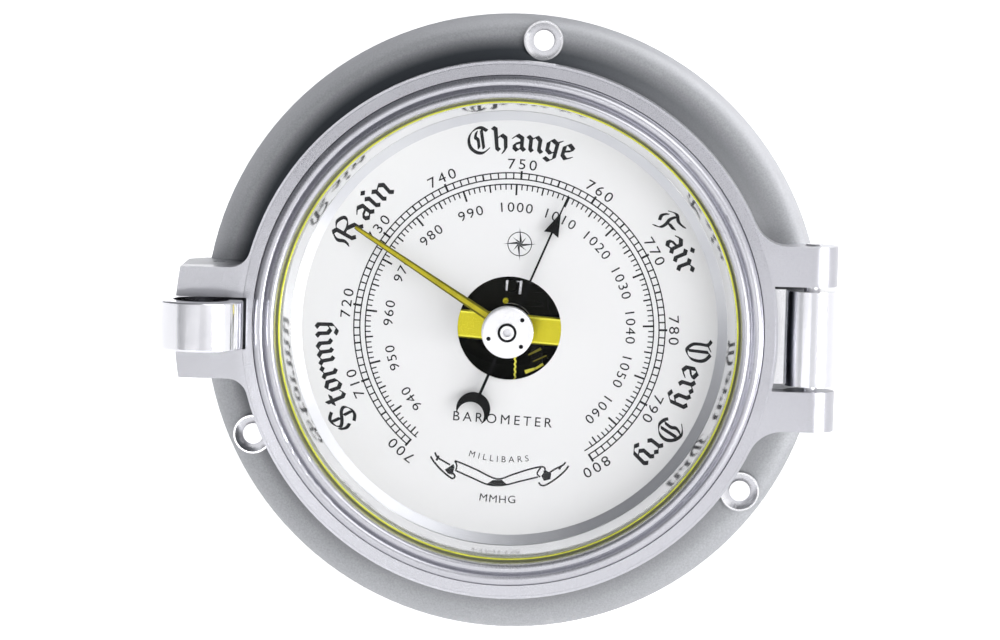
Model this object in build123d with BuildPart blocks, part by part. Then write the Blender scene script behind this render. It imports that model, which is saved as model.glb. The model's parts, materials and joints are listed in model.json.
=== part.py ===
from build123d import *
import math
import os

# Porthole-style aneroid barometer for a bulkhead, in millimetres.
# The origin is the centre of the back face, +Z is up and the dial looks along -Y.
# A depth d below is the distance out from the wall, so it lies at y = -d.
# Rings and discs are sketched on Plane.XZ.offset(d), where local x is +X and local
# y is +Z, and turned profiles are drawn on Plane.XY as (radius, -depth).

# ---------------------------------------------------------------- driving sizes
FLANGE_R = 75.0          # wall flange
BACK_R = 57.4            # recess for the rear cover
BORE_R = 56.0            # inside of the case drum
DRUM_R = 60.8            # outside of the case drum
SEAT_R = 57.3            # dial seat bore
SEAT_D = 18.2            # depth of the dial seat
DRUM_TOP = 19.8          # front rim of the drum
WALL_HOLE_R = 2.5
WALL_PCD_R = 69.0
WALL_HOLE_START = 85.0   # first wall screw, counter-clockwise from +X

HINGE_X, HINGE_D = 72.4, 20.6
KNUCKLE_R, KNUCKLE_H = 6.0, 11.4
EAR_IN, EAR_OUT = 12.6, 22.2
PIN_R = 2.0

LATCH_X, LATCH_D = -71.0, 11.0      # clasp pivot
LATCH_PIN_R = 1.5
CLASP_X, CLASP_D = -73.3, 30.5      # axis of the clasp's finger tube
CLASP_R, CLASP_BORE, CLASP_H = 10.1, 6.7, 5.9
SLOT_H, EAR_GAP_H, LEFT_EAR_H, LEFT_EAR_R = 6.3, 6.2, 13.4, 80.0

BEZEL_R = 64.6
BEZEL_BACK = 20.2
REBATE_R = 56.8
LIP_R = 55.5

DIAL_R, DIAL_HOLE_R, DIAL_T = 57.0, 12.5, 0.8
GLASS_R, GLASS_BACK, GLASS_FRONT = 56.6, 24.1, 26.6

PRINT_TILT = -3.5        # the movement and dial stand turned a little in the case
ROCK_Z, ROCK_D = -34.0, 6.5          # rocking shaft
CHAIN_X, CHAIN_D = 1.05, 15.8
FOLD_Z, FOLD_D = 44.0, 8.95          # bend of the main spring
CAP_Z = 10.0                         # centre of the capsule
HAND_ANGLE = 67.5                    # pressure hand
SET_ANGLE = 147.7                    # set hand

os.makedirs("parts", exist_ok=True)

# ================================================================ fixed case
# Flange, drum, screw bosses, hinge knuckle and latch lug are one casting.
with BuildPart() as case_body:
    with BuildSketch(Plane.XY):
        with BuildLine():
            Polyline((DRUM_R, -12), (DRUM_R, -DRUM_TOP + 0.3), (DRUM_R - 0.3, -DRUM_TOP),
                     (SEAT_R, -DRUM_TOP), (SEAT_R, -SEAT_D), (BORE_R, -SEAT_D),
                     (BORE_R, -1.6), (BACK_R, -1.6), (BACK_R, 0), (FLANGE_R - 0.8, 0),
                     (FLANGE_R, -0.8), (FLANGE_R, -2.2))
            Spline((FLANGE_R, -2.2), (73.4, -3.7), (69, -4.8), (64.6, -6.2),
                   (62, -8.6), (DRUM_R, -12))
        make_face()
    revolve(axis=Axis.Y)
    # raised bosses round the wall screws
    with BuildSketch(Plane.XZ.offset(2.0)):
        with PolarLocations(WALL_PCD_R, 3, start_angle=WALL_HOLE_START):
            Circle(5.1)
    extrude(amount=4.0, taper=3)
    # web and knuckle of the bezel hinge
    with BuildSketch(Plane.XY.offset(-KNUCKLE_H)) as web_section:
        with BuildLine():
            Polyline((58.6, -3), (73.4, -3), (78.4, -11), (78.4, -HINGE_D),
                     (67.0, -19.7), (58.6, -19.7), (58.6, -3))
        make_face()
        with Locations((HINGE_X, -HINGE_D)):
            Circle(KNUCKLE_R)
    extrude(amount=2 * KNUCKLE_H)
    # latch lug: two cheeks out to a concentric edge
    with BuildSketch(Plane.XZ.offset(1.0)) as lug_plan:
        Circle(LEFT_EAR_R)
        with Locations((-72, 0)):
            Rectangle(24, 2 * LEFT_EAR_H, mode=Mode.INTERSECT)
        Circle(59.5, mode=Mode.SUBTRACT)
    extrude(amount=DRUM_TOP - 1.0)
    with BuildSketch(Plane.XY.offset(-20)):
        with BuildLine():
            Polyline((-81, -0.4), (-74.5, -0.4), (-81, -8.5), (-81, -0.4))
        make_face()
    extrude(amount=40, mode=Mode.SUBTRACT)
    with BuildSketch(Plane.XY.offset(-SLOT_H)):
        with Locations((-73.2, -15.5)):
            Rectangle(18.4, 20)
    extrude(amount=2 * SLOT_H, mode=Mode.SUBTRACT)
    # lugs inside the drum: rear cover, movement plate and dial
    with BuildSketch(Plane.XZ.offset(1.6)):
        with PolarLocations(54.0, 3, start_angle=30):
            Circle(2.7)
        with PolarLocations(53.0, 3, start_angle=90):
            Circle(3.2)
        Circle(DRUM_R - 2, mode=Mode.INTERSECT)
    extrude(amount=1.5)
    with BuildSketch(Plane.XZ.offset(12.0)):
        with PolarLocations(55.6, 3, start_angle=60):
            Circle(1.8)
    extrude(amount=SEAT_D - 12.0)
    # wall screw holes
    with Locations(Plane.XZ.offset(6.0)):
        with PolarLocations(WALL_PCD_R, 3, start_angle=WALL_HOLE_START):
            CounterSinkHole(radius=WALL_HOLE_R, counter_sink_radius=4.3, counter_sink_angle=90)
    # hinge and latch pin bores, screw holes
    with BuildSketch(Plane.XY.offset(-30)):
        with Locations((HINGE_X, -HINGE_D)):
            Circle(PIN_R + 0.06)
        with Locations((LATCH_X, -LATCH_D)):
            Circle(LATCH_PIN_R + 0.02)
    extrude(amount=60, mode=Mode.SUBTRACT)
    with BuildSketch(Plane.XZ.offset(1.0)):
        with PolarLocations(54.0, 3, start_angle=30):
            Circle(1.0)
        with PolarLocations(53.0, 3, start_angle=90):
            Circle(1.25)
    extrude(amount=2.4, mode=Mode.SUBTRACT)
    with BuildSketch(Plane.XZ.offset(13.0)):
        with PolarLocations(55.6, 3, start_angle=60):
            Circle(0.65)
    extrude(amount=6, mode=Mode.SUBTRACT)
case_body.part.label = "case_body"
export_step(case_body.part, "parts/case_body.step")

# Spun rear cover with an opening for the calibration screw.
with BuildPart() as rear_cover:
    with BuildSketch(Plane.XZ.offset(0.5)):
        Circle(57.2)
        with PolarLocations(54.0, 3, start_angle=30):
            Circle(1.1, mode=Mode.SUBTRACT)
        with Locations((0, 35)):
            Circle(3.0, mode=Mode.SUBTRACT)
    extrude(amount=1.0)
rear_cover.part.label = "rear_cover"
export_step(rear_cover.part, "parts/rear_cover.step")

# Flat-headed screws of the rear cover, heads sunk behind the back face.
with BuildPart() as rear_cover_screws:
    with BuildSketch(Plane.XZ.offset(0.1)):
        with PolarLocations(54.0, 3, start_angle=30):
            Circle(1.9)
            Rectangle(3.0, 0.5, mode=Mode.SUBTRACT)
    extrude(amount=0.4)
    with BuildSketch(Plane.XZ.offset(0.4)):
        with PolarLocations(54.0, 3, start_angle=30):
            Circle(0.97)
    extrude(amount=2.6)
rear_cover_screws.part.label = "rear_cover_screws"
export_step(rear_cover_screws.part, "parts/rear_cover_screws.step")

# ================================================================ movement frame
with BuildPart() as movement_plate:
    with BuildSketch(Plane.XZ.offset(3.2)):
        Circle(55.4)
        with PolarLocations(53.0, 3, start_angle=90):
            Circle(1.35, mode=Mode.SUBTRACT)
        with PolarLocations(54.0, 3, start_angle=30):
            Circle(2.0, mode=Mode.SUBTRACT)
        with Locations((0, CAP_Z), (0, 35)):
            Circle(1.55, mode=Mode.SUBTRACT)
        with Locations((0, ROCK_Z)):
            RectangleRounded(27, 17, 2.5, mode=Mode.SUBTRACT)
        with Locations((-6, 38), (6, 38), (-20, ROCK_Z), (20, ROCK_Z)):
            Circle(0.8, mode=Mode.SUBTRACT)
        with Locations((-36, 8), (36, 8), (-36, -20), (36, -20)):
            SlotOverall(18, 9, rotation=90, mode=Mode.SUBTRACT)
    extrude(amount=1.6)
movement_plate.part.label = "movement_plate"
export_step(movement_plate.part, "parts/movement_plate.step")

with BuildPart() as movement_screws:
    with BuildSketch(Plane.XZ.offset(4.8)):
        with PolarLocations(53.0, 3, start_angle=90):
            Circle(2.2)
    extrude(amount=1.3)
    fillet(movement_screws.faces().sort_by(Axis.Y)[:3].edges(), 0.35)
    with BuildSketch(Plane.XZ.offset(5.5)):
        with PolarLocations(53.0, 3, start_angle=90):
            Rectangle(5, 0.5)
    extrude(amount=1.0, mode=Mode.SUBTRACT)
    with BuildSketch(Plane.XZ.offset(2.0)):
        with PolarLocations(53.0, 3, start_angle=90):
            Circle(1.2)
    extrude(amount=3.0)
movement_screws.part.label = "movement_screws"
export_step(movement_screws.part, "parts/movement_screws.step")

# ================================================================ aneroid capsule
# Two corrugated diaphragms, soldered at the rim. The lower one has a threaded foot.
corr = [(19.0, 0.75), (17.6, 1.15), (16.0, 0.55), (14.4, 1.15), (12.8, 0.55),
        (11.2, 1.15), (9.6, 0.55), (8.0, 1.15), (6.4, 0.6), (4.4, 1.0)]
with BuildPart() as capsule_lower:
    with BuildSketch(Plane.XY) as lower_section:
        with BuildLine():
            Polyline((3.0, -5.55), (3.0, -4.8), (1.5, -4.8), (1.5, -1.9), (0, -1.9), (0, -5.95),
                     (3.0, -5.95))
            Spline([(3.0, -5.95)] + [(r, -(7.35 - h)) for r, h in corr[::-1]] + [(20.0, -7.45)])
            Polyline((20.0, -7.45), (21.0, -7.5), (21.0, -7.1), (20.1, -7.05))
            Spline([(20.1, -7.05)] + [(r, -(6.95 - h)) for r, h in corr] + [(3.0, -5.55)])
        make_face()
    revolve(axis=Axis.Y)
capsule_lower.part = capsule_lower.part.moved(Location((0, 0, CAP_Z)))
capsule_lower.part.label = "capsule_lower"
export_step(capsule_lower.part, "parts/capsule_lower.step")

with BuildPart() as capsule_upper:
    with BuildSketch(Plane.XY) as upper_section:
        with BuildLine():
            Polyline((3.0, -9.45), (3.0, -11.2), (0, -11.2), (0, -9.05), (3.0, -9.05))
            Spline([(3.0, -9.05)] + [(r, -(7.65 + h)) for r, h in corr[::-1]] + [(20.0, -7.55)])
            Polyline((20.0, -7.55), (21.0, -7.5), (21.0, -7.9), (20.1, -7.95))
            Spline([(20.1, -7.95)] + [(r, -(8.05 + h)) for r, h in corr] + [(3.0, -9.45)])
        make_face()
    revolve(axis=Axis.Y)
capsule_upper.part = capsule_upper.part.moved(Location((0, 0, CAP_Z)))
capsule_upper.part.label = "capsule_upper"
export_step(capsule_upper.part, "parts/capsule_upper.step")

with BuildPart() as capsule_nut:
    with BuildSketch(Plane.XZ.offset(1.9)):
        with Locations((0, CAP_Z)):
            RegularPolygon(radius=3.2, side_count=6)
            Circle(1.55, mode=Mode.SUBTRACT)
    extrude(amount=1.25)
capsule_nut.part.label = "capsule_nut"
export_step(capsule_nut.part, "parts/capsule_nut.step")

# Post that carries the capsule's push to the main spring, with its cross pin.
with BuildPart() as capsule_stem:
    with BuildSketch(Plane.XZ.offset(11.22)):
        with Locations((0, CAP_Z)):
            Circle(1.5)
    extrude(amount=3.5)
    chamfer(capsule_stem.faces().sort_by(Axis.Y)[0].edges(), 0.25)
    with BuildSketch(Plane.YZ.offset(-3)):
        with Locations((-13.75, CAP_Z)):
            Circle(0.53)
    extrude(amount=6, mode=Mode.SUBTRACT)
capsule_stem.part.label = "capsule_stem"
export_step(capsule_stem.part, "parts/capsule_stem.step")

with BuildPart() as stem_cross_pin:
    with BuildSketch(Plane.YZ.offset(-3.2)):
        with Locations((-13.75, CAP_Z)):
            Circle(0.5)
    extrude(amount=6.4)
stem_cross_pin.part.label = "stem_cross_pin"
export_step(stem_cross_pin.part, "parts/stem_cross_pin.step")

# Steel main spring, folded over at the top, its upper leaf over the capsule.
with BuildPart() as main_spring:
    with BuildSketch(Plane.YZ.offset(-11)) as leaf_section:
        with BuildLine():
            l1 = Polyline((-4.8, FOLD_Z), (-4.8, 32.0), (-5.9, 32.0), (-5.9, FOLD_Z))
            l2 = ThreePointArc((-5.9, FOLD_Z), (-FOLD_D, FOLD_Z + 3.05), (-12.0, FOLD_Z))
            l3 = Polyline((-12.0, FOLD_Z), (-12.0, 3.0), (-13.1, 3.0), (-13.1, FOLD_Z))
            l4 = ThreePointArc((-13.1, FOLD_Z), (-FOLD_D, FOLD_Z + 4.15), (-4.8, FOLD_Z))
        make_face()
    extrude(amount=22)
    with BuildSketch(Plane.XZ.offset(11.0)):
        with Locations((0, CAP_Z)):
            Circle(1.9)
        with Locations((0, 38)):
            SlotOverall(18, 5.4)
    extrude(amount=3.0, mode=Mode.SUBTRACT)
    with BuildSketch(Plane.XZ.offset(4.0)):
        with Locations((-6, 38), (6, 38)):
            Circle(0.95)
    extrude(amount=3.0, mode=Mode.SUBTRACT)
main_spring.part.label = "main_spring"
export_step(main_spring.part, "parts/main_spring.step")

with BuildPart() as spring_foot_screws:
    with BuildSketch(Plane.XZ.offset(5.92)):
        with Locations((-6, 38), (6, 38)):
            Circle(1.9)
            Rectangle(5, 0.45, mode=Mode.SUBTRACT)
    extrude(amount=1.2)
    with BuildSketch(Plane.XZ.offset(3.3)):
        with Locations((-6, 38), (6, 38)):
            Circle(0.75)
    extrude(amount=3.2)
spring_foot_screws.part.label = "spring_foot_screws"
export_step(spring_foot_screws.part, "parts/spring_foot_screws.step")

with BuildPart() as calibration_screw:
    with BuildSketch(Plane.XZ.offset(1.7)):
        with Locations((0, 35)):
            Circle(2.4)
            Rectangle(5, 0.5, mode=Mode.SUBTRACT)
    extrude(amount=0.7)
    with BuildSketch(Plane.XZ.offset(2.2)):
        with Locations((0, 35)):
            Circle(1.5)
    extrude(amount=2.55)
calibration_screw.part.label = "calibration_screw"
export_step(calibration_screw.part, "parts/calibration_screw.step")

# ================================================================ main lever
with BuildPart() as main_lever:
    with BuildSketch(Plane.XZ.offset(13.12)):
        with Locations((6.5, 7.0)):
            RectangleRounded(5.0, 7.0, 0.8)
        with Locations((6.5, -15.0)):
            Rectangle(3.0, 46.0)
        with Locations((6.5, -37.0)):
            Circle(2.2)
        with Locations((6.5, 8.6), (6.5, 5.2)):
            Circle(0.65, mode=Mode.SUBTRACT)
    extrude(amount=1.0)
main_lever.part.label = "main_lever"
export_step(main_lever.part, "parts/main_lever.step")

with BuildPart() as lever_screws:
    with BuildSketch(Plane.XZ.offset(14.13)):
        with Locations((6.5, 8.6), (6.5, 5.2)):
            Circle(1.15)
            Rectangle(3, 0.35, mode=Mode.SUBTRACT)
    extrude(amount=0.6)
    with BuildSketch(Plane.XZ.offset(13.15)):
        with Locations((6.5, 8.6), (6.5, 5.2)):
            Circle(0.6)
    extrude(amount=1.1)
lever_screws.part.label = "lever_screws"
export_step(lever_screws.part, "parts/lever_screws.step")

# Link from the lever's tip down to the crank on the rocking shaft.
with BuildPart() as lever_link:
    with BuildSketch(Plane.YZ.offset(6.0)):
        with Locations((-9.8, ROCK_Z - 2.6)):
            Rectangle(6.6, 1.8)
        with Locations((-ROCK_D, ROCK_Z - 2.6)):
            Circle(1.0)
            Circle(0.6, mode=Mode.SUBTRACT)
    extrude(amount=1.0)
lever_link.part.label = "lever_link"
export_step(lever_link.part, "parts/lever_link.step")

# ================================================================ rocking shaft
with BuildPart() as rocker_arbor:
    with BuildSketch(Plane.YZ.offset(-16.4)):
        with Locations((-ROCK_D, ROCK_Z)):
            Circle(0.6)
    extrude(amount=32.8)
    with BuildSketch(Plane.YZ.offset(-14.0)):
        with Locations((-ROCK_D, ROCK_Z)):
            Circle(1.0)
    extrude(amount=28.0)
rocker_arbor.part.label = "rocker_arbor"
export_step(rocker_arbor.part, "parts/rocker_arbor.step")

with BuildPart() as chain_arm:
    with BuildSketch(Plane.YZ.offset(CHAIN_X - 0.6)):
        with Locations((-ROCK_D, ROCK_Z)):
            Circle(1.9)
        with BuildLine():
            Polyline((-ROCK_D, ROCK_Z - 1.0), (-15.0, ROCK_Z - 0.6), (-15.0, ROCK_Z + 0.6),
                     (-ROCK_D, ROCK_Z + 1.0), (-ROCK_D, ROCK_Z - 1.0))
        make_face()
        with Locations((-ROCK_D, ROCK_Z)):
            Circle(1.0, mode=Mode.SUBTRACT)
    extrude(amount=1.2)
chain_arm.part.label = "chain_arm"
export_step(chain_arm.part, "parts/chain_arm.step")

with BuildPart() as link_crank:
    with BuildSketch(Plane.YZ.offset(4.4)):
        with Locations((-ROCK_D, ROCK_Z)):
            Circle(1.8)
        with Locations((-ROCK_D, ROCK_Z - 1.6)):
            Rectangle(1.7, 3.0)
        with Locations((-ROCK_D, ROCK_Z)):
            Circle(1.0, mode=Mode.SUBTRACT)
    extrude(amount=1.1)
    with BuildSketch(Plane.YZ.offset(5.4)):
        with Locations((-ROCK_D, ROCK_Z - 2.6)):
            Circle(0.38)
    extrude(amount=2.4)
link_crank.part.label = "link_crank"
export_step(link_crank.part, "parts/link_crank.step")

with BuildPart() as balance_weight:
    with BuildSketch(Plane.YZ.offset(-6.6)):
        with Locations((-ROCK_D, ROCK_Z)):
            Circle(1.9)
        with Locations((-4.9, ROCK_Z)):
            Rectangle(2.2, 0.9)
        with Locations((-ROCK_D, ROCK_Z)):
            Circle(1.0, mode=Mode.SUBTRACT)
    extrude(amount=1.2)
    with BuildSketch(Plane.YZ.offset(-8.6)):
        with Locations((-3.4, ROCK_Z)):
            Circle(1.2)
    extrude(amount=5.2)
balance_weight.part.label = "balance_weight"
export_step(balance_weight.part, "parts/balance_weight.step")

# Two cocks that hold the rocking shaft's pivots, with their screws.
with BuildPart() as rocker_cocks:
    with BuildSketch(Plane.XZ.offset(4.8)):
        with Locations((-18.7, ROCK_Z), (18.7, ROCK_Z)):
            RectangleRounded(8.6, 6.0, 1.0)
        with Locations((-20, ROCK_Z), (20, ROCK_Z)):
            Circle(0.9, mode=Mode.SUBTRACT)
    extrude(amount=1.0)
    with BuildSketch(Plane.XZ.offset(4.8)):
        with Locations((-15.5, ROCK_Z), (15.5, ROCK_Z)):
            Rectangle(2.2, 6.0)
    extrude(amount=3.9)
    with BuildSketch(Plane.YZ.offset(-18)):
        with Locations((-ROCK_D, ROCK_Z)):
            Circle(0.66)
    extrude(amount=36, mode=Mode.SUBTRACT)
rocker_cocks.part.label = "rocker_cocks"
export_step(rocker_cocks.part, "parts/rocker_cocks.step")

with BuildPart() as cock_screws:
    with BuildSketch(Plane.XZ.offset(5.82)):
        with Locations((-20, ROCK_Z), (20, ROCK_Z)):
            Circle(1.7)
            Rectangle(4, 0.4, mode=Mode.SUBTRACT)
    extrude(amount=1.1)
    with BuildSketch(Plane.XZ.offset(3.3)):
        with Locations((-20, ROCK_Z), (20, ROCK_Z)):
            Circle(0.75)
    extrude(amount=3.0)
cock_screws.part.label = "cock_screws"
export_step(cock_screws.part, "parts/cock_screws.step")

# ================================================================ pointer bridge
with BuildPart() as bridge_bar:
    with BuildSketch(Plane.XZ.offset(16.8)):
        with Locations(Location((0, 0), PRINT_TILT)):
            RectangleRounded(52, 6.9, 1.2)
            with Locations((-23, 0), (23, 0)):
                Circle(0.85, mode=Mode.SUBTRACT)
        Circle(0.66, mode=Mode.SUBTRACT)
    extrude(amount=1.2)
    chamfer(bridge_bar.faces().sort_by(Axis.Y)[0].outer_wire().edges(), 0.35)
bridge_bar.part.label = "bridge_bar"
export_step(bridge_bar.part, "parts/bridge_bar.step")

with BuildPart() as bridge_pillars:
    with BuildSketch(Plane.XZ.offset(4.8)):
        with Locations(Location((0, 0), PRINT_TILT)):
            with Locations((-23, 0), (23, 0)):
                Circle(2.1)
                Circle(0.8, mode=Mode.SUBTRACT)
    extrude(amount=12.0)
    with BuildSketch(Plane.XZ.offset(13.58)):
        with Locations((-23, 1.4)):
            Rectangle(6, 6)
    extrude(amount=0.84, mode=Mode.SUBTRACT)
bridge_pillars.part.label = "bridge_pillars"
export_step(bridge_pillars.part, "parts/bridge_pillars.step")

with BuildPart() as bridge_screws:
    with BuildSketch(Plane.XZ.offset(14.6)):
        with Locations(Location((0, 0), PRINT_TILT)):
            with Locations((-23, 0), (23, 0)):
                Circle(0.75)
    extrude(amount=3.41)
bridge_screws.part.label = "bridge_screws"
export_step(bridge_screws.part, "parts/bridge_screws.step")

with BuildPart() as arbor_cock:
    with BuildSketch(Plane.XZ.offset(13.6)):
        with Locations((-11.2, 0.7)):
            Rectangle(23.0, 3.2, rotation=PRINT_TILT)
        with Locations(Location((0, 0), PRINT_TILT)):
            with Locations((-23, 0)):
                Circle(2.6)
        Circle(2.0)
        Circle(0.46, mode=Mode.SUBTRACT)
        with Locations(Location((0, 0), PRINT_TILT)):
            with Locations((-23, 0)):
                Circle(0.85, mode=Mode.SUBTRACT)
    extrude(amount=0.8)
arbor_cock.part.label = "arbor_cock"
export_step(arbor_cock.part, "parts/arbor_cock.step")

# ================================================================ pointer arbor
with BuildPart() as pointer_arbor:
    with BuildSketch(Plane.XY):
        with BuildLine():
            Polyline((0, -13.7), (0.3, -13.7), (0.4, -13.9), (0.4, -14.5), (0.7, -14.5),
                     (0.7, -16.7), (0.6, -16.7), (0.6, -22.0), (0.45, -22.1), (0, -22.1),
                     (0, -13.7))
        make_face()
    revolve(axis=Axis.Y)
pointer_arbor.part.label = "pointer_arbor"
export_step(pointer_arbor.part, "parts/pointer_arbor.step")

with BuildPart() as hairspring_collet:
    with BuildSketch(Plane.XZ.offset(14.75)):
        Circle(1.2)
        Circle(0.7, mode=Mode.SUBTRACT)
    extrude(amount=0.55)
hairspring_collet.part.label = "hairspring_collet"
export_step(hairspring_collet.part, "parts/hairspring_collet.step")

# Flat spiral that takes up the chain's slack.
turns, spr_in, spr_out, strip = 6.0, 1.22, 5.6, 0.14
steps = int(turns * 14)
def spiral_point(i, extra):
    """A point of the spiral's edge, i steps from its inner end."""
    a = 2 * math.pi * turns * i / steps + math.radians(100)
    r = spr_in + (spr_out - spr_in) * i / steps + extra
    return (r * math.cos(a), r * math.sin(a))
with BuildPart() as hairspring:
    with BuildSketch(Plane.XZ.offset(14.8)):
        with BuildLine():
            Spline([spiral_point(i, 0) for i in range(steps + 1)])
            Line(spiral_point(steps, 0), spiral_point(steps, strip))
            Spline([spiral_point(i, strip) for i in range(steps, -1, -1)])
            Line(spiral_point(0, strip), spiral_point(0, 0))
        make_face()
    extrude(amount=0.4)
hairspring.part.label = "hairspring"
export_step(hairspring.part, "parts/hairspring.step")

stud_x, stud_z = spiral_point(steps, strip + 0.75)
with BuildPart() as hairspring_stud:
    with BuildSketch(Plane.XZ.offset(14.42)):
        with Locations((stud_x, stud_z)):
            Circle(0.7)
    extrude(amount=2.36)
hairspring_stud.part.label = "hairspring_stud"
export_step(hairspring_stud.part, "parts/hairspring_stud.step")

# Fusee chain from the arbor down to the arm on the rocking shaft.
with BuildPart() as chain:
    with BuildSketch(Plane.XZ.offset(CHAIN_D - 0.2)):
        with Locations((CHAIN_X, ROCK_Z / 2)):
            Rectangle(0.34, -ROCK_Z)
        with Locations(*[(CHAIN_X, -1.0 * i) for i in range(0, 35)]):
            Circle(0.28)
    extrude(amount=0.4)
chain.part.label = "chain"
export_step(chain.part, "parts/chain.step")

with BuildPart() as hand_bush:
    with BuildSketch(Plane.XY):
        with BuildLine():
            Polyline((0.62, -20.0), (1.3, -20.0), (1.3, -20.6), (1.0, -20.6), (1.0, -21.4),
                     (0.8, -21.6), (0.62, -21.6), (0.62, -20.0))
        make_face()
    revolve(axis=Axis.Y)
hand_bush.part.label = "hand_bush"
export_step(hand_bush.part, "parts/hand_bush.step")

# Pressure hand: thin stem, barbed arrowhead and a crescent on the tail.
with BuildPart() as pressure_hand:
    with BuildSketch(Plane.XZ.offset(20.6)) as hand_plan:
        with BuildLine(Plane.XY.rotated((0, 0, HAND_ANGLE))):
            Polyline((2, 0.26), (25.4, 0.24), (24.9, 1.9), (30.1, 0.2), (35.2, 0.12),
                     (35.2, -0.12), (30.1, -0.2), (24.9, -1.9), (25.4, -0.24), (2, -0.26),
                     (2, 0.26))
        make_face()
        with BuildLine(Plane.XY.rotated((0, 0, HAND_ANGLE))):
            Polyline((-2, 0.34), (-17.6, 0.34), (-17.6, -0.34), (-2, -0.34), (-2, 0.34))
        make_face()
        Circle(2.8)
        with Locations(Location((0, 0), HAND_ANGLE)):
            with Locations((-21.2, 0)):
                Circle(4.1)
            with Locations((-22.9, 0)):
                Circle(3.3, mode=Mode.SUBTRACT)
        Circle(1.02, mode=Mode.SUBTRACT)
    extrude(amount=0.4)
pressure_hand.part.label = "pressure_hand"
export_step(pressure_hand.part, "parts/pressure_hand.step")

# ================================================================ dial and rehaut
with BuildPart() as dial_plate:
    with BuildSketch(Plane.XZ.offset(SEAT_D)):
        Circle(DIAL_R)
        Circle(DIAL_HOLE_R, mode=Mode.SUBTRACT)
        with PolarLocations(55.6, 3, start_angle=60):
            Circle(0.75, mode=Mode.SUBTRACT)
    extrude(amount=DIAL_T)
dial_plate.part.label = "dial_plate"
export_step(dial_plate.part, "parts/dial_plate.step")

with BuildPart() as rehaut_ring:
    with BuildSketch(Plane.XY):
        with BuildLine():
            Polyline((50.1, -19.0), (57.0, -19.0), (57.0, -19.8), (54.0, -19.8), (54.6, -20.6),
                     (54.6, -23.2), (54.3, -23.2), (52.55, -20.5), (52.3, -20.3), (50.1, -19.15),
                     (50.1, -19.0))
        make_face()
    revolve(axis=Axis.Y)
    with BuildSketch(Plane.XZ.offset(18.5)):
        with PolarLocations(55.6, 3, start_angle=60):
            Circle(0.75)
    extrude(amount=1.32, mode=Mode.SUBTRACT)
rehaut_ring.part.label = "rehaut_ring"
export_step(rehaut_ring.part, "parts/rehaut_ring.step")

with BuildPart() as rehaut_screws:
    with BuildSketch(Plane.XZ.offset(19.82)):
        with PolarLocations(55.75, 3, start_angle=60):
            Circle(0.75)
            Rectangle(2, 0.3, mode=Mode.SUBTRACT)
    extrude(amount=0.4)
    with BuildSketch(Plane.XZ.offset(14.0)):
        with PolarLocations(55.6, 3, start_angle=60):
            Circle(0.6)
    extrude(amount=5.9)
rehaut_screws.part.label = "rehaut_screws"
export_step(rehaut_screws.part, "parts/rehaut_screws.step")

# ================================================================ bezel
# Turned ring with two beads, a glass rebate and a seal groove behind, hinge ears on
# the right and a divided ear for the latch on the left.
with BuildPart() as bezel_ring:
    with BuildSketch(Plane.XY):
        with BuildLine():
            Polyline((58.5, -28.0), (58.1, -27.7), (57.95, -28.1))
            ThreePointArc((57.95, -28.1), (57.0, -29.6), (55.9, -28.6))
            Polyline((55.9, -28.6), (LIP_R, -27.1), (REBATE_R, -27.1), (REBATE_R, -BEZEL_BACK),
                     (58.0, -BEZEL_BACK), (58.0, -21.05), (60.0, -21.05), (60.0, -BEZEL_BACK),
                     (BEZEL_R, -BEZEL_BACK), (BEZEL_R, -25.9), (63.9, -26.7), (61.4, -26.9),
                     (61.15, -26.4), (60.75, -26.4))
            ThreePointArc((60.75, -26.4), (59.7, -28.75), (58.5, -28.0))
        make_face()
    revolve(axis=Axis.Y)
    with BuildSketch(Plane.XZ.offset(BEZEL_BACK)) as ear_plan:
        Circle(BEZEL_R)
        with Locations(((50 + HINGE_X) / 2, 17.4), ((50 + HINGE_X) / 2, -17.4)):
            Rectangle(HINGE_X - 50, EAR_OUT - EAR_IN)
        with BuildLine():
            Polyline((-50, LEFT_EAR_H), (-78.87, LEFT_EAR_H))
            ThreePointArc((-78.87, LEFT_EAR_H), (-LEFT_EAR_R, 0), (-78.87, -LEFT_EAR_H))
            Polyline((-78.87, -LEFT_EAR_H), (-50, -LEFT_EAR_H), (-50, LEFT_EAR_H))
        make_face()
        roots = [v for v in ear_plan.vertices() if abs(abs(v.Y) - EAR_OUT) < 0.1 and 50 < v.X < 66]
        fillet(roots, 8.5)
        left_roots = [v for v in ear_plan.vertices()
                      if abs(abs(v.Y) - LEFT_EAR_H) < 0.1 and -66 < v.X < -50]
        fillet(left_roots, 5.0)
        Circle(61.6, mode=Mode.SUBTRACT)
    extrude(amount=26.6 - BEZEL_BACK)
    for low in (EAR_IN, -EAR_OUT):
        with BuildSketch(Plane.XY.offset(low)):
            with Locations((HINGE_X, -HINGE_D)):
                Circle(KNUCKLE_R)
        extrude(amount=EAR_OUT - EAR_IN)
    with BuildSketch(Plane.XY.offset(-EAR_GAP_H)):
        with Locations((-72.8, -23.5)):
            Rectangle(20.0, 8.0)
    extrude(amount=2 * EAR_GAP_H, mode=Mode.SUBTRACT)
    with BuildSketch(Plane.XY.offset(-30)):
        with Locations((HINGE_X, -HINGE_D)):
            Circle(PIN_R + 0.02)
    extrude(amount=60, mode=Mode.SUBTRACT)
bezel_ring.part.label = "bezel_ring"
export_step(bezel_ring.part, "parts/bezel_ring.step")

with BuildPart() as hinge_pin:
    with BuildSketch(Plane.XY.offset(-22.6)):
        with Locations((HINGE_X, -HINGE_D)):
            Circle(PIN_R)
    extrude(amount=45.2)
    chamfer(hinge_pin.faces().filter_by(Axis.Z).edges(), 0.35)
hinge_pin.part.label = "hinge_pin"
export_step(hinge_pin.part, "parts/hinge_pin.step")

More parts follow.
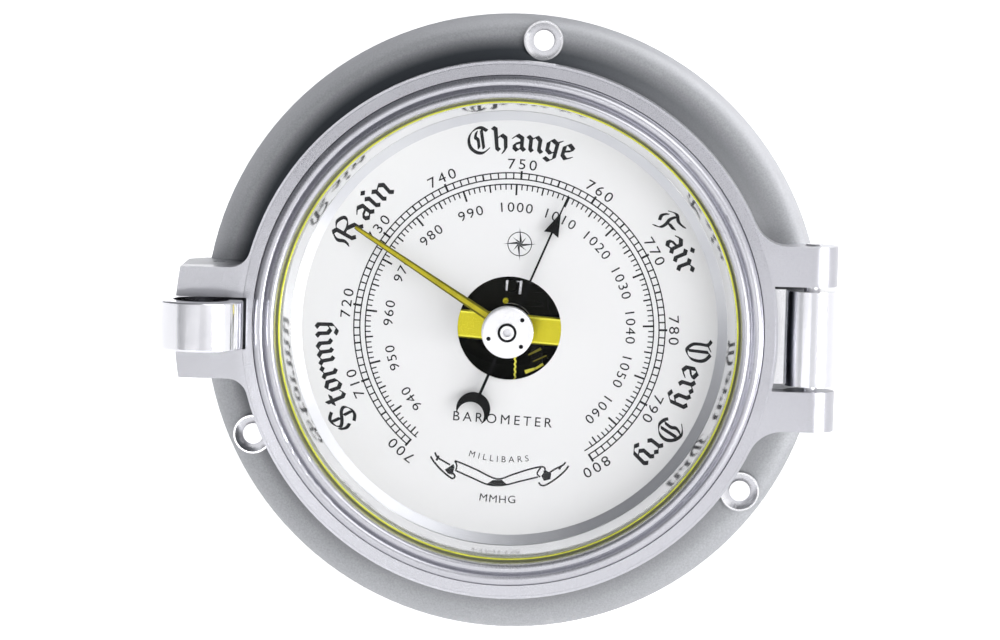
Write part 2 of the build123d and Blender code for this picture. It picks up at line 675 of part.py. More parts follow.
with BuildPart() as glass:
    with BuildSketch(Plane.XZ.offset(GLASS_BACK)):
        Circle(GLASS_R)
        Circle(1.7, mode=Mode.SUBTRACT)
    extrude(amount=GLASS_FRONT - GLASS_BACK)
glass.part.label = "glass"
export_step(glass.part, "parts/glass.step")

with BuildPart() as glass_trim_ring:
    with BuildSketch(Plane.XZ.offset(GLASS_FRONT + 0.02)):
        Circle(56.7)
        Circle(54.7, mode=Mode.SUBTRACT)
    extrude(amount=0.44)
glass_trim_ring.part.label = "glass_trim_ring"
export_step(glass_trim_ring.part, "parts/glass_trim_ring.step")

with BuildPart() as glass_gasket:
    with BuildSketch(Plane.XZ.offset(23.52)):
        Circle(56.6)
        Circle(54.9, mode=Mode.SUBTRACT)
    extrude(amount=0.56)
glass_gasket.part.label = "glass_gasket"
export_step(glass_gasket.part, "parts/glass_gasket.step")

with BuildPart() as glass_retaining_ring:
    with BuildSketch(Plane.XZ.offset(21.9)):
        Circle(56.72)
        Circle(54.95, mode=Mode.SUBTRACT)
    extrude(amount=1.6)
    with BuildSketch(Plane.XZ.offset(21.9)):
        with PolarLocations(56.0, 2, start_angle=90):
            Rectangle(4, 2.5)
    extrude(amount=0.7, mode=Mode.SUBTRACT)
glass_retaining_ring.part.label = "glass_retaining_ring"
export_step(glass_retaining_ring.part, "parts/glass_retaining_ring.step")

with BuildPart() as bezel_seal:
    with BuildSketch(Plane.XZ.offset(20.12)):
        Circle(59.95)
        Circle(58.05, mode=Mode.SUBTRACT)
    extrude(amount=0.9)
bezel_seal.part.label = "bezel_seal"
export_step(bezel_seal.part, "parts/bezel_seal.step")

# ================================================================ set hand
with BuildPart() as set_shaft:
    with BuildSketch(Plane.XY):
        with BuildLine():
            Polyline((0, -22.4), (1.0, -22.4), (1.0, -23.68), (1.6, -23.68), (1.6, -27.0),
                     (1.2, -27.0), (1.2, -29.0), (0, -29.0), (0, -22.4))
        make_face()
    revolve(axis=Axis.Y)
set_shaft.part.label = "set_shaft"
export_step(set_shaft.part, "parts/set_shaft.step")

with BuildPart() as set_hand:
    with BuildSketch(Plane.XZ.offset(22.9)):
        with BuildLine(Plane.XY.rotated((0, 0, SET_ANGLE))):
            Polyline((0, 1.9), (8, 1.75), (30, 0.85), (44.0, 0.5), (44.4, 0), (44.0, -0.5),
                     (30, -0.85), (8, -1.75), (0, -1.9), (0, 1.9))
        make_face()
        Circle(3.0)
        Circle(1.02, mode=Mode.SUBTRACT)
    extrude(amount=0.7)
set_hand.part.label = "set_hand"
export_step(set_hand.part, "parts/set_hand.step")

with BuildPart() as set_washer:
    with BuildSketch(Plane.XZ.offset(23.7)):
        Circle(3.2)
        Circle(1.65, mode=Mode.SUBTRACT)
    extrude(amount=0.35)
set_washer.part.label = "set_washer"
export_step(set_washer.part, "parts/set_washer.step")

with BuildPart() as set_knob:
    with BuildSketch(Plane.XY):
        with BuildLine():
            Polyline((1.22, -27.0), (5.9, -27.0), (6.2, -27.3), (6.2, -29.6), (5.8, -30.05),
                     (2.6, -30.2), (2.4, -30.6), (2.1, -30.8), (1.5, -30.8), (1.2, -30.4),
                     (0, -30.4), (0, -29.05), (1.22, -29.05), (1.22, -27.0))
        make_face()
    revolve(axis=Axis.Y)
    with BuildSketch(Plane.XZ.offset(29.5)):
        with PolarLocations(4.7, 3, start_angle=-46):
            Circle(0.45)
    extrude(amount=2, mode=Mode.SUBTRACT)
set_knob.part.label = "set_knob"
export_step(set_knob.part, "parts/set_knob.step")

# ================================================================ latch
with BuildPart() as latch_clasp:
    with BuildSketch(Plane.XY.offset(-CLASP_H)):
        with BuildLine():
            Polyline((LATCH_X - 2.95, -LATCH_D), (-77.2, -23.5), (-69.4, -23.5),
                     (LATCH_X + 2.95, -LATCH_D), (LATCH_X - 2.95, -LATCH_D))
        make_face()
        with Locations((LATCH_X, -LATCH_D)):
            Circle(3.0)
        with Locations((CLASP_X, -CLASP_D)):
            Circle(CLASP_R)
            Circle(CLASP_BORE, mode=Mode.SUBTRACT)
        with Locations((LATCH_X, -LATCH_D)):
            Circle(LATCH_PIN_R + 0.05, mode=Mode.SUBTRACT)
    extrude(amount=2 * CLASP_H)
    fillet(latch_clasp.faces().filter_by(Axis.Z).edges().filter_by(GeomType.CIRCLE)
           .filter_by(lambda e: abs(e.radius - CLASP_R) < 0.01), 0.5)
    with BuildSketch(Plane.XY.offset(-1.6)):
        with Locations((LATCH_X, -LATCH_D)):
            Rectangle(10, 8.0)
    extrude(amount=3.2, mode=Mode.SUBTRACT)
latch_clasp.part.label = "latch_clasp"
export_step(latch_clasp.part, "parts/latch_clasp.step")

with BuildPart() as latch_pin:
    with BuildSketch(Plane.XY.offset(-13.2)):
        with Locations((LATCH_X, -LATCH_D)):
            Circle(LATCH_PIN_R)
    extrude(amount=26.4)
    chamfer(latch_pin.faces().filter_by(Axis.Z).edges(), 0.25)
latch_pin.part.label = "latch_pin"
export_step(latch_pin.part, "parts/latch_pin.step")

# Torsion spring between the clasp's two cheeks.
with BuildPart() as latch_spring:
    with BuildLine() as coil_path:
        Helix(pitch=0.72, height=2.16, radius=2.15, center=(LATCH_X, -LATCH_D, -1.08))
    with BuildSketch(Plane(coil_path.line @ 0, z_dir=coil_path.line % 0)):
        Circle(0.28)
    sweep(path=coil_path.line)
latch_spring.part.label = "latch_spring"
export_step(latch_spring.part, "parts/latch_spring.step")
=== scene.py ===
import bpy, bmesh, json, math
from mathutils import Vector, Matrix, geometry


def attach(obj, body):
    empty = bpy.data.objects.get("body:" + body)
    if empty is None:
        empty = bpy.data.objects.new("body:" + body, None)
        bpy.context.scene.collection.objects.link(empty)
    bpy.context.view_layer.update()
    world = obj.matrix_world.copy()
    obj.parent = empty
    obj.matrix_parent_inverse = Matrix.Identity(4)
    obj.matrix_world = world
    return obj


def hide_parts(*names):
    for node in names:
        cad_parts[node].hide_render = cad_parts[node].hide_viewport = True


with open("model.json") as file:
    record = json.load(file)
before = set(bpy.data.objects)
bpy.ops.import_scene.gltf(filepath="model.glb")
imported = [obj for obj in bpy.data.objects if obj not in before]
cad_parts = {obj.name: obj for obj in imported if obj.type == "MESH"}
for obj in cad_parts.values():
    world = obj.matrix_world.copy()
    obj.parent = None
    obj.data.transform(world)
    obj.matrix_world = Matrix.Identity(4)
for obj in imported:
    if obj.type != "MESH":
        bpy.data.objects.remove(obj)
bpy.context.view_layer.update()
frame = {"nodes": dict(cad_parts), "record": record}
NODES = frame["nodes"]
MM = 0.001
D2R = math.pi / 180.0

# ------------------------------------------------------------------ camera, lights, stage
scene = bpy.context.scene
scene.view_settings.view_transform = "Standard"
scene.view_settings.look = "None"
scene.view_settings.exposure = 0.0
scene.view_settings.gamma = 1.0


def look_from(az, el, dist, target, roll):
    """A camera az degrees to the right of straight ahead and el degrees up, rolled about its own axis."""
    a, e = az * D2R, el * D2R
    out = Vector((math.sin(a) * math.cos(e), -math.cos(a) * math.cos(e), math.sin(e)))
    rot = out.to_track_quat("Z", "Y").to_matrix() @ Matrix.Rotation(roll * D2R, 3, "Z")
    return target + out * dist, rot


CAM_AZ, CAM_EL, CAM_ROLL, CAM_D, LENS = 2.5, 5.6, 1.46, 1.300, 191.8
_, cam_rot = look_from(CAM_AZ, CAM_EL, CAM_D, Vector((0, 0, 0)), CAM_ROLL)
shift = cam_rot @ Vector((-3.10 * MM, 0.15 * MM, 0))
cam_pos, cam_rot = look_from(CAM_AZ, CAM_EL, CAM_D, shift, CAM_ROLL)
cam_data = bpy.data.cameras.new("main_camera")
cam_data.lens, cam_data.sensor_width = LENS, 36.0
cam_data.clip_end = 50.0
camera = bpy.data.objects.new("main_camera", cam_data)
scene.collection.objects.link(camera)
camera.matrix_world = Matrix.Translation(cam_pos) @ cam_rot.to_4x4()
scene.camera = camera


def area(name, at, toward, size, power, color=(1, 1, 1), size_y=None):
    light = bpy.data.lights.new(name, "AREA")
    light.energy, light.color, light.size = power, color, size
    if size_y:
        light.shape, light.size_y = "RECTANGLE", size_y
    o = bpy.data.objects.new(name, light)
    scene.collection.objects.link(o)
    o.matrix_world = Matrix.Translation(at) @ (Vector(at) - Vector(toward)).to_track_quat("Z", "Y").to_matrix().to_4x4()
    return o


area("key_soft", (1.25, -0.95, -0.55), (0, 0, 0), 0.9, 43.0)
area("top_fill", (0.75, -1.25, 1.15), (0, 0, 0), 1.1, 6.5)
area("low_fill", (-0.55, -1.5, -0.85), (0, 0, 0), 1.3, 21.0)

# The studio round the object: bright in front and below, dimmer overhead and to the left.
world = bpy.data.worlds.new("studio")
scene.world = world
world.use_nodes = True
wn, wl = world.node_tree.nodes, world.node_tree.links
wn.clear()
w_out = wn.new("ShaderNodeOutputWorld")
w_bg = wn.new("ShaderNodeBackground")
w_tc = wn.new("ShaderNodeTexCoord")
w_dot = wn.new("ShaderNodeVectorMath"); w_dot.operation = "DOT_PRODUCT"
w_dot.inputs[1].default_value = Vector((-0.62, 0.20, 0.76)).normalized()
w_ramp = wn.new("ShaderNodeValToRGB")
w_ramp.color_ramp.interpolation = "EASE"
w_ramp.color_ramp.elements[0].position, w_ramp.color_ramp.elements[0].color = 0.42, (1.0, 1.0, 1.02, 1)
w_ramp.color_ramp.elements[1].position, w_ramp.color_ramp.elements[1].color = 0.84, (0.26, 0.265, 0.28, 1)
w_map = wn.new("ShaderNodeMapRange")
w_map.inputs["From Min"].default_value, w_map.inputs["From Max"].default_value = -1.0, 1.0
wl.new(w_tc.outputs["Generated"], w_dot.inputs[0])
wl.new(w_dot.outputs["Value"], w_map.inputs["Value"])
wl.new(w_map.outputs["Result"], w_ramp.inputs["Fac"])
# White screens stand close by on the right, and further round on the left.
w_sum = w_ramp.outputs["Color"]
for aim, lo_d, hi_d, gain in (((0.97, -0.22, -0.10), 0.42, 0.70, 0.26), ((-0.98, -0.10, -0.12), 0.86, 0.95, 0.22)):
    d = wn.new("ShaderNodeVectorMath"); d.operation = "DOT_PRODUCT"
    d.inputs[1].default_value = Vector(aim).normalized()
    wl.new(w_tc.outputs["Generated"], d.inputs[0])
    r = wn.new("ShaderNodeMapRange"); r.interpolation_type = "SMOOTHSTEP"
    r.inputs["From Min"].default_value, r.inputs["From Max"].default_value = lo_d, hi_d
    r.inputs["To Max"].default_value = gain
    wl.new(d.outputs["Value"], r.inputs["Value"])
    a = wn.new("ShaderNodeMix"); a.data_type, a.blend_type = "RGBA", "ADD"
    a.inputs[0].default_value = 1.0
    a.clamp_result = False
    wl.new(w_sum, a.inputs[6]); wl.new(r.outputs["Result"], a.inputs[7])
    w_sum = a.outputs[2]
wl.new(w_sum, w_bg.inputs["Color"])
w_bg.inputs["Strength"].default_value = 0.80
wl.new(w_bg.outputs["Background"], w_out.inputs["Surface"])


# ------------------------------------------------------------------ material helpers
class Mat:
    """A Principled material with procedural colour, roughness and bump laid on object coordinates."""

    def __init__(self, name, color, metallic=0.0, rough=0.5):
        self.m = bpy.data.materials.new(name)
        self.m.use_nodes = True
        self.n, self.l = self.m.node_tree.nodes, self.m.node_tree.links
        self.n.clear()
        self.out = self.n.new("ShaderNodeOutputMaterial")
        self.p = self.n.new("ShaderNodeBsdfPrincipled")
        self.l.new(self.p.outputs["BSDF"], self.out.inputs["Surface"])
        self.p.inputs["Base Color"].default_value = (*color, 1)
        self.p.inputs["Metallic"].default_value = metallic
        self.p.inputs["Roughness"].default_value = rough
        self.tc = self.n.new("ShaderNodeTexCoord")
        self.coord = self.tc.outputs["Object"]
        self.height = None
        self.color, self.rough = color, rough

    def noise(self, scale, detail=3.0, rough=0.6, coord=None, stretch=None):
        t = self.n.new("ShaderNodeTexNoise")
        t.inputs["Scale"].default_value = scale
        t.inputs["Detail"].default_value = detail
        t.inputs["Roughness"].default_value = rough
        src = coord or self.coord
        if stretch:
            mp = self.n.new("ShaderNodeMapping")
            mp.inputs["Scale"].default_value = stretch
            self.l.new(src, mp.inputs["Vector"])
            src = mp.outputs["Vector"]
        self.l.new(src, t.inputs["Vector"])
        return t.outputs["Fac"]

    def ramp(self, fac, stops):
        r = self.n.new("ShaderNodeValToRGB")
        els = r.color_ramp.elements
        while len(els) < len(stops):
            els.new(0.5)
        for e, (pos, col) in zip(els, stops):
            e.position = pos
            e.color = (*col, 1) if len(col) == 3 else col
        self.l.new(fac, r.inputs["Fac"])
        return r.outputs["Color"]

    def span(self, fac, lo, hi, f0=0.3, f1=0.7):
        r = self.n.new("ShaderNodeMapRange")
        r.inputs["From Min"].default_value, r.inputs["From Max"].default_value = f0, f1
        r.inputs["To Min"].default_value, r.inputs["To Max"].default_value = lo, hi
        self.l.new(fac, r.inputs["Value"])
        return r.outputs["Result"]

    def math(self, op, a, b=None):
        m = self.n.new("ShaderNodeMath")
        m.operation = op
        for i, v in enumerate((a, b)):
            if v is None:
                continue
            if isinstance(v, (int, float)):
                m.inputs[i].default_value = v
            else:
                self.l.new(v, m.inputs[i])
        return m.outputs["Value"]

    def mix(self, fac, a, b, mode="MIX"):
        m = self.n.new("ShaderNodeMix")
        m.data_type, m.blend_type = "RGBA", mode
        for sock, v in ((m.inputs[0], fac), (m.inputs[6], a), (m.inputs[7], b)):
            if isinstance(v, (int, float)):
                sock.default_value = v
            elif isinstance(v, tuple):
                sock.default_value = (*v, 1) if len(v) == 3 else v
            else:
                self.l.new(v, sock)
        return m.outputs[2]

    def split(self, coord=None):
        s = self.n.new("ShaderNodeSeparateXYZ")
        self.l.new(coord or self.coord, s.inputs[0])
        return s.outputs

    def polar(self, cx=0.0, cz=0.0, turns=1.0):
        """Coordinates (radius, y, angle) about the instrument's axis, for turned and spun finishes."""
        x, y, z = self.split()
        x, z = self.math("SUBTRACT", x, cx), self.math("SUBTRACT", z, cz)
        r = self.math("SQRT", self.math("ADD", self.math("MULTIPLY", x, x), self.math("MULTIPLY", z, z)))
        a = self.math("MULTIPLY", self.math("ARCTAN2", z, x), turns)
        c = self.n.new("ShaderNodeCombineXYZ")
        self.l.new(r, c.inputs[0]); self.l.new(y, c.inputs[1]); self.l.new(a, c.inputs[2])
        return c.outputs[0]

    def set_rough(self, sock):
        self.l.new(sock, self.p.inputs["Roughness"])

    def set_color(self, sock):
        self.l.new(sock, self.p.inputs["Base Color"])

    def bump(self, sock, strength, dist):
        b = self.n.new("ShaderNodeBump")
        b.inputs["Strength"].default_value = strength
        b.inputs["Distance"].default_value = dist
        self.l.new(sock, b.inputs["Height"])
        if self.height is not None:
            self.l.new(self.height, b.inputs["Normal"])
        self.height = b.outputs["Normal"]
        self.l.new(self.height, self.p.inputs["Normal"])

    def edge_wear(self, amount, bright):
        """Lightens convex edges a little, as handling and polishing do."""
        g = self.n.new("ShaderNodeNewGeometry")
        f = self.span(g.outputs["Pointiness"], 0.0, amount, 0.50, 0.56)
        src = self.p.inputs["Base Color"]
        base = src.links[0].from_socket if src.links else (*self.color,)
        self.set_color(self.mix(f, base, bright))


def blasted_chrome():
    """Matt chrome with a fine blasted grain; the screw seats and the hinge knuckle are polished."""
    m = Mat("matt_satin_chrome_casting", (0.44, 0.45, 0.47), 0.6, 0.42)
    grain = m.noise(5200, 2, 0.7)
    speck = m.noise(2300, 3, 0.75)
    broad = m.noise(60, 3, 0.55)
    x, y, z = m.split()
    near = None
    for deg in (85.0, 205.0, 325.0):
        px, pz = 69.0 * MM * math.cos(deg * D2R), 69.0 * MM * math.sin(deg * D2R)
        dx, dz = m.math("SUBTRACT", x, px), m.math("SUBTRACT", z, pz)
        r = m.math("SQRT", m.math("ADD", m.math("MULTIPLY", dx, dx), m.math("MULTIPLY", dz, dz)))
        near = r if near is None else m.math("MINIMUM", near, r)
    seat = m.span(near, 1.0, 0.0, 0.00462, 0.00478)
    side = m.span(x, 0.0, 1.0, 0.0632, 0.0634)
    mid = m.span(m.math("ABSOLUTE", z), 1.0, 0.0, 0.0118, 0.0120)
    shiny = m.math("MAXIMUM", seat, m.math("MULTIPLY", side, mid))
    base = m.mix(m.span(broad, 0.0, 0.5), (0.44, 0.45, 0.47), (0.52, 0.53, 0.55))
    base = m.mix(m.span(speck, 0.0, 0.75), base, (0.29, 0.295, 0.31))
    rr = m.math("SQRT", m.math("ADD", m.math("MULTIPLY", x, x), m.math("MULTIPLY", z, z)))
    # Painted shade: the flange is darkened towards the bezel ring, where the ring shades it.
    base = m.mix(m.span(rr, 0.62, 0.0, 0.0665, 0.0715), base, (0.17, 0.172, 0.18))
    # Painted highlight: the outer rolled rim is lightened, more towards the top, where the lamps catch it.
    base = m.mix(m.math("MULTIPLY", m.span(rr, 0.0, 1.0, 0.0715, 0.0745), m.span(z, 0.08, 0.75, -0.03, 0.05)), base, (0.84, 0.85, 0.88))
    # Painted shade: next to the ring the flange is darkened further towards the upper left, the side away from the key
    # lamp.
    lean = m.math("DIVIDE", m.math("ADD", m.math("MULTIPLY", x, -0.68), m.math("MULTIPLY", z, 0.73)), rr)
    shade = m.math("MULTIPLY", m.span(lean, 0.10, 1.0, -0.35, 0.75), m.span(rr, 0.90, 0.0, 0.0664, 0.0702))
    base = m.mix(shade, base, (0.020, 0.027, 0.036))
    bright = m.mix(m.span(x, 0.0, 1.0, 0.0662, 0.0664), (0.96, 0.96, 0.98), (0.86, 0.86, 0.90))
    # Painted shade: a dark band down the hinge knuckle's left side, the side turned from the light.
    knuckle_side_shade = m.math("MULTIPLY", m.span(x, 0.0, 1.0, 0.0660, 0.0664), m.span(x, 1.0, 0.0, 0.0676, 0.0688))
    # Painted shade: near-black where the knuckle meets the bezel ears, the shade in the gap between the parts.
    hinge_gap_shade = m.math("MULTIPLY", side, m.math("MULTIPLY", m.span(m.math("ABSOLUTE", z), 0.0, 1.0, 0.01135, 0.01145), m.span(m.math("ABSOLUTE", z), 1.0, 0.0, 0.0128, 0.0130)))
    bright = m.mix(m.math("MULTIPLY", knuckle_side_shade, m.math("SUBTRACT", 1.0, seat)), bright, (0.030, 0.042, 0.060))
    m.set_color(m.mix(hinge_gap_shade, m.mix(shiny, base, bright), (0.02, 0.02, 0.022)))
    rough = m.math("ADD", m.span(grain, 0.40, 0.56), m.span(broad, -0.03, 0.05))
    m.l.new(m.span(shiny, 0.55, 1.0, 0.0, 1.0), m.p.inputs["Metallic"])
    m.set_rough(m.math("ADD", m.math("MULTIPLY", rough, m.math("SUBTRACT", 1.0, shiny)), m.math("MULTIPLY", shiny, m.span(grain, 0.13, 0.20))))
    m.bump(m.math("MULTIPLY", grain, m.math("SUBTRACT", 1.0, m.math("MULTIPLY", shiny, 0.9))), 0.35, 0.00006)
    m.edge_wear(0.12, (0.74, 0.74, 0.78))
    return m.m


def satin_bezel():
    m = Mat("satin_chrome_bezel", (0.66, 0.66, 0.70), 1.0, 0.30)
    fine = m.noise(5600, 2, 0.65)
    speck = m.noise(2600, 3, 0.75)
    cloud = m.noise(45, 3, 0.5)
    base = m.mix(m.span(cloud, 0.0, 0.6), (0.56, 0.56, 0.60), (0.63, 0.63, 0.67))
    x, y, z = m.split()
    # Painted shade: the bezel is darkened towards the left, the side away from the key lamp.
    base = m.mix(m.span(x, 0.60, 0.0, -0.0655, -0.059), base, (0.36, 0.365, 0.38))
    m.set_color(m.mix(m.span(speck, 0.0, 0.6), base, (0.47, 0.47, 0.51)))
    m.set_rough(m.math("ADD", m.span(fine, 0.24, 0.34), m.span(cloud, -0.02, 0.04)))
    m.bump(fine, 0.16, 0.00004)
    m.edge_wear(0.06, (0.90, 0.90, 0.93))
    return m.m


def polished_clasp():
    m = Mat("polished_chrome_clasp", (0.86, 0.86, 0.90), 1.0, 0.14)
    fine = m.noise(4000, 3, 0.6, stretch=(1, 1, 0.04))
    smudge = m.noise(140, 4, 0.6)
    m.set_rough(m.math("ADD", m.span(fine, 0.05, 0.10), m.span(smudge, 0.0, 0.04)))
    m.set_color(m.mix(m.span(smudge, 0.0, 1.0), (0.84, 0.84, 0.88), (0.91, 0.91, 0.94)))
    m.bump(fine, 0.08, 0.00003)
    return m.m


def brass(name, dark, light, rough=(0.18, 0.34), grain_scale=3500, stretch=(1, 1, 1)):
    m = Mat(name, light, 1.0, rough[0])
    grain = m.noise(grain_scale, 3, 0.65, stretch=stretch)
    stain = m.noise(260, 4, 0.6)
    m.set_color(m.mix(m.span(stain, 0.0, 1.0, 0.38, 0.68), light, dark))
    m.set_rough(m.span(grain, rough[0], rough[1]))
    m.bump(grain, 0.15, 0.00003)
    m.edge_wear(0.4, tuple(min(1, c * 1.18) for c in light))
    return m.m


def steel(name="bright_steel", base=(0.70, 0.70, 0.73), r0=0.18, r1=0.32):
    m = Mat(name, base, 1.0, r0)
    grain = m.noise(4200, 3, 0.6)
    m.set_rough(m.span(grain, r0, r1))
    m.set_color(m.mix(m.span(m.noise(300, 3), 0, 1), tuple(c * 0.92 for c in base), tuple(min(1, c * 1.08) for c in base)))
    m.bump(grain, 0.12, 0.00003)
    return m.m


def black_lacquer(name="black_lacquer", base=(0.006, 0.006, 0.004), rough=(0.30, 0.46)):
    m = Mat(name, base, 0.0, rough[0])
    m.p.inputs["Specular IOR Level"].default_value = 0.07
    peel = m.noise(1600, 2, 0.5)
    dust = m.noise(7000, 2, 0.7)
    m.set_rough(m.span(peel, rough[0], rough[1]))
    m.set_color(m.mix(m.span(dust, 0.0, 0.6, 0.55, 0.75), base, tuple(c * 2.5 for c in base)))
    m.bump(peel, 0.10, 0.00004)
    return m.m


def knob_steel():
    m = Mat("turned_knob_face", (0.93, 0.93, 0.94), 0.75, 0.30)
    pol = m.polar(turns=0.0015)
    lines = m.noise(16000, 2, 0.55, pol)
    m.set_rough(m.span(lines, 0.24, 0.38))
    m.bump(lines, 0.20, 0.00004)
    m.set_color(m.mix(m.span(m.noise(500, 3), 0, 1), (0.84, 0.84, 0.86), (0.92, 0.92, 0.94)))
    return m.m


def dial_silver():
    m = Mat("silvered_dial", (0.93, 0.935, 0.95), 0.0, 0.5)
    grain = m.noise(2600, 3, 0.6, stretch=(1, 1, 0.06))
    tone = m.noise(14, 2, 0.5)
    m.set_color(m.mix(m.span(tone, 0.0, 1.0), (0.955, 0.96, 0.97), (0.98, 0.98, 0.985)))
    m.set_rough(m.span(grain, 0.40, 0.56))
    m.bump(grain, 0.05, 0.00003)
    return m.m


def rehaut_metal():
    """The cone next to the dial is satin grey; the one above it is polished."""
    m = Mat("polished_cone", (0.88, 0.89, 0.91), 1.0, 0.16)
    pol = m.polar(turns=0.002)
    lines = m.noise(9000, 2, 0.5, pol)
    x, y, z = m.split()
    r = m.math("SQRT", m.math("ADD", m.math("MULTIPLY", x, x), m.math("MULTIPLY", z, z)))
    upper = m.span(r, 0.0, 1.0, 0.05238, 0.05250)
    tone = m.noise(60, 3)
    satin = m.mix(m.span(tone, 0, 1), (0.70, 0.71, 0.75), (0.78, 0.79, 0.82))
    bright = m.mix(m.span(tone, 0, 1), (0.90, 0.905, 0.92), (0.95, 0.95, 0.96))
    m.set_color(m.mix(upper, satin, bright))
    m.set_rough(m.math("SUBTRACT", m.span(lines, 0.34, 0.42), m.math("MULTIPLY", upper, 0.27)))
    m.bump(lines, 0.06, 0.00003)
    return m.m


def clear_glass():
    m = Mat("clear_glass", (0.02, 0.022, 0.021), 0.0, 0.015)
    m.p.inputs["Alpha"].default_value = 0.055
    m.p.inputs["IOR"].default_value = 1.5
    dust = m.noise(900, 3, 0.6)
    m.set_rough(m.span(dust, 0.01, 0.05, 0.45, 0.75))
    m.m.blend_method = "BLEND" if hasattr(m.m, "blend_method") else None
    return m.m


def rubber():
    m = Mat("soft_black_seal", (0.035, 0.035, 0.037), 0.0, 0.7)
    g = m.noise(3000, 3, 0.6)
    m.set_rough(m.span(g, 0.6, 0.82))
    m.set_color(m.mix(m.span(g, 0, 1), (0.028, 0.028, 0.03), (0.05, 0.05, 0.052)))
    m.bump(g, 0.2, 0.00005)
    return m.m


def pale_gasket():
    m = Mat("clear_silicone_gasket", (0.80, 0.81, 0.72), 0.0, 0.4)
    g = m.noise(1200, 3, 0.6)
    m.set_rough(m.span(g, 0.3, 0.5))
    m.set_color(m.mix(m.span(g, 0, 1), (0.82, 0.83, 0.74), (0.74, 0.76, 0.60)))
    m.bump(g, 0.1, 0.00004)
    return m.m


def bridge_brass():
    """Lacquered brass with painted highlights along its two long sides, in place of lit chamfers."""
    m = Mat("bridge_brass", (0.80, 0.72, 0.045), 1.0, 0.28)
    x, y, z = m.split()
    across = m.math("ABSOLUTE", m.math("ADD", m.math("MULTIPLY", z, math.cos(3.5 * D2R)), m.math("MULTIPLY", x, math.sin(3.5 * D2R))))
    # Painted highlight: near-white yellow along both long edges of the bar.
    edge = m.span(across, 0.0, 1.0, 0.00262, 0.00280)
    grain = m.noise(2600, 3, 0.65)
    body = m.mix(m.span(grain, 0, 1), (0.66, 0.58, 0.035), (0.80, 0.72, 0.045))
    m.set_color(m.mix(edge, body, (1.0, 0.94, 0.10)))
    m.set_rough(m.span(m.noise(3500, 3, 0.6), 0.24, 0.38))
    m.bump(grain, 0.15, 0.00003)
    return m.m


def ink():
    m = Mat("black_print", (0.018, 0.018, 0.02), 0.0, 0.5)
    m.p.inputs["Specular IOR Level"].default_value = 0.15
    g = m.noise(9000, 3, 0.7)
    m.set_color(m.mix(m.span(g, 0.0, 1.0, 0.4, 0.8), (0.014, 0.014, 0.016), (0.06, 0.06, 0.065)))
    m.set_rough(m.span(g, 0.42, 0.6))
    m.bump(g, 0.1, 0.00002)
    return m.m


M_CAST, M_BEZEL, M_CLASP = blasted_chrome(), satin_bezel(), polished_clasp()
M_BRASS = brass("lacquered_brass", (0.70, 0.60, 0.035), (0.86, 0.78, 0.05))
M_TRIM = brass("bright_brass_edge", (0.46, 0.48, 0.06), (0.70, 0.72, 0.10), (0.25, 0.4))
M_STEEL, M_BLACK, M_KNOB = steel(), black_lacquer(), knob_steel()
M_HAND = black_lacquer("black_hand", (0.010, 0.010, 0.011), (0.35, 0.5))
M_DIAL, M_REHAUT, M_GLASS, M_RUBBER, M_INK = dial_silver(), rehaut_metal(), clear_glass(), rubber(), ink()
M_PALE = pale_gasket()
M_RING = steel("satin_retaining_ring", (0.86, 0.87, 0.88), 0.25, 0.4)
M_BAR = bridge_brass()
# Painted shade for the dark ring just outside the glass, under the bezel lip.
M_LIP_SHADOW = black_lacquer("painted_lip_shadow", (0.16, 0.165, 0.10), (0.4, 0.6))
M_COVER = steel("spun_rear_cover", (0.60, 0.60, 0.61), 0.26, 0.42)
M_CHAIN = brass("chain_brass", (0.52, 0.44, 0.04), (0.92, 0.84, 0.12), (0.25, 0.4))

SLOT_OF = {"cast_satin": M_CAST, "bezel_satin": M_BEZEL, "clasp_polished": M_CLASP, "cover_plate": M_COVER,
           "plate_black": M_BLACK, "black_lacquer": M_BLACK, "black_hand": M_HAND, "steel": M_STEEL, "brass": M_BRASS,
           "trim_brass": M_TRIM, "dial_silver": M_DIAL, "rehaut": M_REHAUT, "glass": M_GLASS, "seal": M_RUBBER, "knob": M_KNOB}
for part in frame["record"]["subparts"]:
    o = NODES[part["node"]]
    for slot in o.material_slots:
        slot.material = SLOT_OF[part["material_slot"]]


NODES["glass_gasket"].material_slots[0].material = M_PALE
NODES["glass_retaining_ring"].material_slots[0].material = M_RING
NODES["bridge_bar"].material_slots[0].material = M_BAR


# ------------------------------------------------------------------ mesh helpers
def face_plane(x, z, d):
    """A point d millimetres out from the wall."""
    return Vector((x * MM, -d * MM, z * MM))


def sheet_solid(name, tris, pts, d_back, d_front, mat, body):
    """Extrudes flat triangles in (x, z) millimetres into one thin closed solid per island."""
    bm = bmesh.new()
    back = [bm.verts.new(face_plane(x, z, d_back)) for x, z in pts]
    front = [bm.verts.new(face_plane(x, z, d_front)) for x, z in pts]
    edge_use = {}
    for a, b, c in tris:
        area2 = (pts[b][0] - pts[a][0]) * (pts[c][1] - pts[a][1]) - (pts[c][0] - pts[a][0]) * (pts[b][1] - pts[a][1])
        if area2 < 0:
            b, c = c, b
        bm.faces.new((front[a], front[b], front[c]))
        bm.faces.new((back[c], back[b], back[a]))
        for e in ((a, b), (b, c), (c, a)):
            edge_use[e] = edge_use.get(e, 0) + 1
    for (a, b) in list(edge_use):
        if (b, a) not in edge_use:
            bm.faces.new((front[b], front[a], back[a], back[b]))
    loose = [v for v in bm.verts if not v.link_faces]
    bmesh.ops.delete(bm, geom=loose, context="VERTS")
    me = bpy.data.meshes.new(name)
    bm.to_mesh(me)
    bm.free()
    o = bpy.data.objects.new(name, me)
    scene.collection.objects.link(o)
    me.materials.append(mat)
    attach(o, body)
    return o


